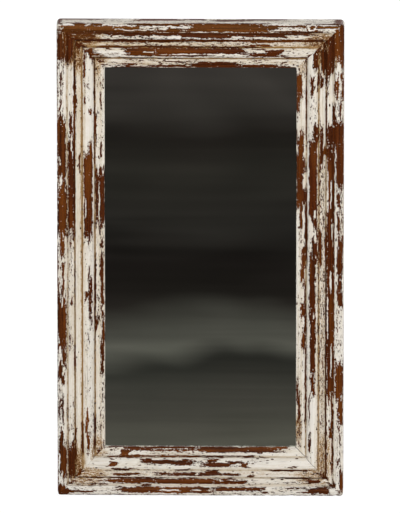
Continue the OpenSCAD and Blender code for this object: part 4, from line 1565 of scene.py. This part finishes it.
floor = flat_sheet("floor", FLOOR_HALF, FLOOR_HALF, (0, 0, cad_low.z))
floor_white, tree, shader = start_material("floor_white")
tree.nodes.remove(shader)
matte = put(tree, "ShaderNodeBsdfDiffuse", {"Color": [FLOOR_MATTE] * 3 + [1]}).outputs[0]
shadow = put(tree, "ShaderNodeBsdfDiffuse", {"Color": [FLOOR_SHADE] * 3 + [1]}).outputs[0]
glow = put(tree, "ShaderNodeEmission", {"Color": (1, 1, 1, 1), "Strength": FLOOR_GLOW}).outputs[0]
shown = put(tree, "ShaderNodeAddShader", {0: shadow, 1: glow}).outputs[0]
surface = put(tree, "ShaderNodeMixShader", {0: seen_directly(tree), 1: matte, 2: shown}).outputs[0]
tree.links.new(surface, tree.nodes["Material Output"].inputs["Surface"])
floor.data.materials.append(floor_white)

world = bpy.data.worlds.new("surround")
scene.world = world
world.use_nodes = True
tree = world.node_tree
strength = spread(tree, seen_directly(tree), 0.0, 1.0, SURROUND_LIGHT, 1.0)
background = tree.nodes["Background"]
background.inputs["Color"].default_value = (1, 1, 1, 1)
tree.links.new(strength, background.inputs["Strength"])
print("floor at z in mm", round(cad_low.z / MM))

# %% [markdown]
# The mirror needs one thing more. In an empty white studio a mirror shows white and looks like a
# hole. It could be painted dark, but then it would be no mirror. So a large dark cloth lies in
# front of it and rises out of view. Only reflections see it, and it takes no light from the object:
# it glows with its own tones, which paint the reflection that the mirror shows. A single bent line,
# pulled sideways, is all its shape.

# %% Dark cloth for the mirror to reflect
CLOTH_NEAR = -0.045
CLOTH_FAR = -4.6
CLOTH_HALF = 9.0
CLOTH_HIGH = 5.0
CLOTH_BEND = 1.2
CLOTH_BEND_STEPS = 12
CLOTH_OVER_FLOOR = 2 * MM

bm = bmesh.new()
edge = bmesh.ops.create_vert(bm, co=(-CLOTH_HALF, CLOTH_NEAR, 0))["vert"]
edge = bmesh.ops.extrude_vert_indiv(bm, verts=edge)["verts"]
edge[0].co.y = CLOTH_FAR + CLOTH_BEND
bent = bmesh.ops.spin(
    bm,
    geom=edge,
    cent=(-CLOTH_HALF, CLOTH_FAR + CLOTH_BEND, CLOTH_BEND),
    axis=(1, 0, 0),
    angle=-math.pi / 2,
    steps=CLOTH_BEND_STEPS,
)["geom_last"]
top = [item for item in bent if isinstance(item, bmesh.types.BMVert)]
bmesh.ops.extrude_vert_indiv(bm, verts=top)["verts"][0].co.z = CLOTH_HIGH
made = bmesh.ops.extrude_edge_only(bm, edges=bm.edges[:])["geom"]
other_side = [item for item in made if isinstance(item, bmesh.types.BMVert)]
bmesh.ops.translate(bm, verts=other_side, vec=(2 * CLOTH_HALF, 0, 0))
bmesh.ops.remove_doubles(bm, verts=bm.verts[:], dist=MM)
bmesh.ops.translate(bm, verts=bm.verts[:], vec=(0, 0, cad_low.z + CLOTH_OVER_FLOOR))
mesh = bpy.data.meshes.new("dark_cloth")
bm.to_mesh(mesh)
bm.free()
cloth = bpy.data.objects.new("dark_cloth", mesh)
scene.collection.objects.link(cloth)
cloth.visible_camera = False
cloth.visible_diffuse = False
cloth.visible_shadow = False
cloth.visible_transmission = False
print("cloth faces", len(mesh.polygons))

# %% [markdown]
# An even tone would look dead, so the cloth glows in darker and lighter bands from near to far:
# a painted reflection for the mirror to show. Painted shade of broad folds pushes the bands about and
# changes their strength, and narrow ripples of painted shade lie over them; the sheet has no folds
# of its own. The tones are its own light, so the lamps can be set for the frame alone.

# %% Tones of the cloth
# glowing tones that paint the reflection seen in the mirror, from near to far
CLOTH_TONES = [
    # place on the cloth from near to far, and its tone
    (0.03, seen(92, 89, 80)), (0.08, seen(74, 71, 65)), (0.127, seen(48, 47, 43)),
    (0.152, seen(88, 86, 79)), (0.168, seen(76, 74, 68)), (0.192, seen(38, 34, 31)),
    (0.225, seen(32, 28, 26)), (0.27, seen(46, 43, 40)), (0.35, seen(46, 43, 39)),
    (0.39, seen(38, 34, 31)), (0.43, seen(56, 52, 49)), (0.53, seen(68, 62, 59)),
    (1.00, seen(80, 77, 74)),
]
LYING_SHARE = 0.7
CLOTH_SKEW = 0.08
CLOTH_WANDERS = 0.020
CLOTH_UNEVEN = 0.30
CLOTH_RIPPLES = 0.16
NOISE_MIDDLE = (0.3, 0.7)


def turned_noise(tree, place, scale, turn, inputs):
    """Noise drawn out and turned over the cloth."""
    turned = put(tree, "ShaderNodeMapping", {"Vector": place, "Scale": scale, "Rotation": (0, 0, turn)})
    return put(tree, "ShaderNodeTexNoise", {"Vector": turned.outputs[0], **inputs}).outputs[0]


cloth_painted_reflection, tree, shader = start_material("cloth_painted_reflection")
tree.nodes.remove(shader)
place = put(tree, "ShaderNodeTexCoord").outputs["Object"]
aside, towards, up = put(tree, "ShaderNodeSeparateXYZ", {0: place}).outputs
# painted shade of folds and ripples on a flat sheet
fold_shading = turned_noise(
    tree, place, (1.5, 0.5, 0.8), 0.6, {"Scale": 1.4, "Detail": 2.0, "Distortion": 1.1}
)
ripple_shading = turned_noise(
    tree, place, (1.6, 9.0, 3.0), 0.15, {"Scale": 1.0, "Detail": 3.0, "Distortion": 0.6}
)
skewed = add_shares(tree, towards, (aside, CLOTH_SKEW))
lying = spread(tree, skewed, CLOTH_NEAR, CLOTH_FAR, 0.0, LYING_SHARE)
wandering = spread(tree, fold_shading, *NOISE_MIDDLE, -CLOTH_WANDERS, CLOTH_WANDERS)
rising = spread(tree, up, cad_low.z, CLOTH_HIGH, 0.0, 1 - LYING_SHARE)
reach = calc(tree, "ADD", calc(tree, "ADD", lying, wandering), rising)
ramp = put(tree, "ShaderNodeValToRGB", {0: reach})
while len(ramp.color_ramp.elements) < len(CLOTH_TONES):
    ramp.color_ramp.elements.new(0.5)
for stop, (position, tone) in zip(ramp.color_ramp.elements, CLOTH_TONES):
    stop.position = position
    stop.color = tone
uneven = spread(tree, fold_shading, *NOISE_MIDDLE, 1 - CLOTH_UNEVEN, 1 + CLOTH_UNEVEN)
rippled = spread(tree, ripple_shading, *NOISE_MIDDLE, -CLOTH_RIPPLES, CLOTH_RIPPLES)
strength = calc(tree, "ADD", uneven, rippled)
glow = put(tree, "ShaderNodeEmission", {"Color": ramp.outputs[0], "Strength": strength}).outputs[0]
tree.links.new(glow, tree.nodes["Material Output"].inputs["Surface"])
cloth.data.materials.append(cloth_painted_reflection)
print("tones on the cloth", len(CLOTH_TONES))

# %% [markdown]
# Two broad lamps light the front, the stronger one above it, so that every bead has a bright
# side and a soft dark one. A third does the same for the back, which other views show. The camera
# doesn't see the lamps themselves.

# %% Lamps
LAMPS = [
    # name, place, size in metres and power in watts
    ("key_lamp", (0.05, -4.5, 1.5), 1.8, 119),
    ("fill_lamp", (2.6, -3.6, 0.3), 2.4, 20),
    ("back_lamp", (1.8, 3.6, 2.6), 2.0, 130),
]
for name, spot, size, power in LAMPS:
    light = bpy.data.lights.new(name, "AREA")
    light.shape = "DISK"
    light.size = size
    light.energy = power
    lamp = bpy.data.objects.new(name, light)
    scene.collection.objects.link(lamp)
    lamp.location = spot
    lamp.rotation_euler = Vector(spot).to_track_quat("Z", "Y").to_euler()
    lamp.visible_camera = False
print("lamps", len(LAMPS))
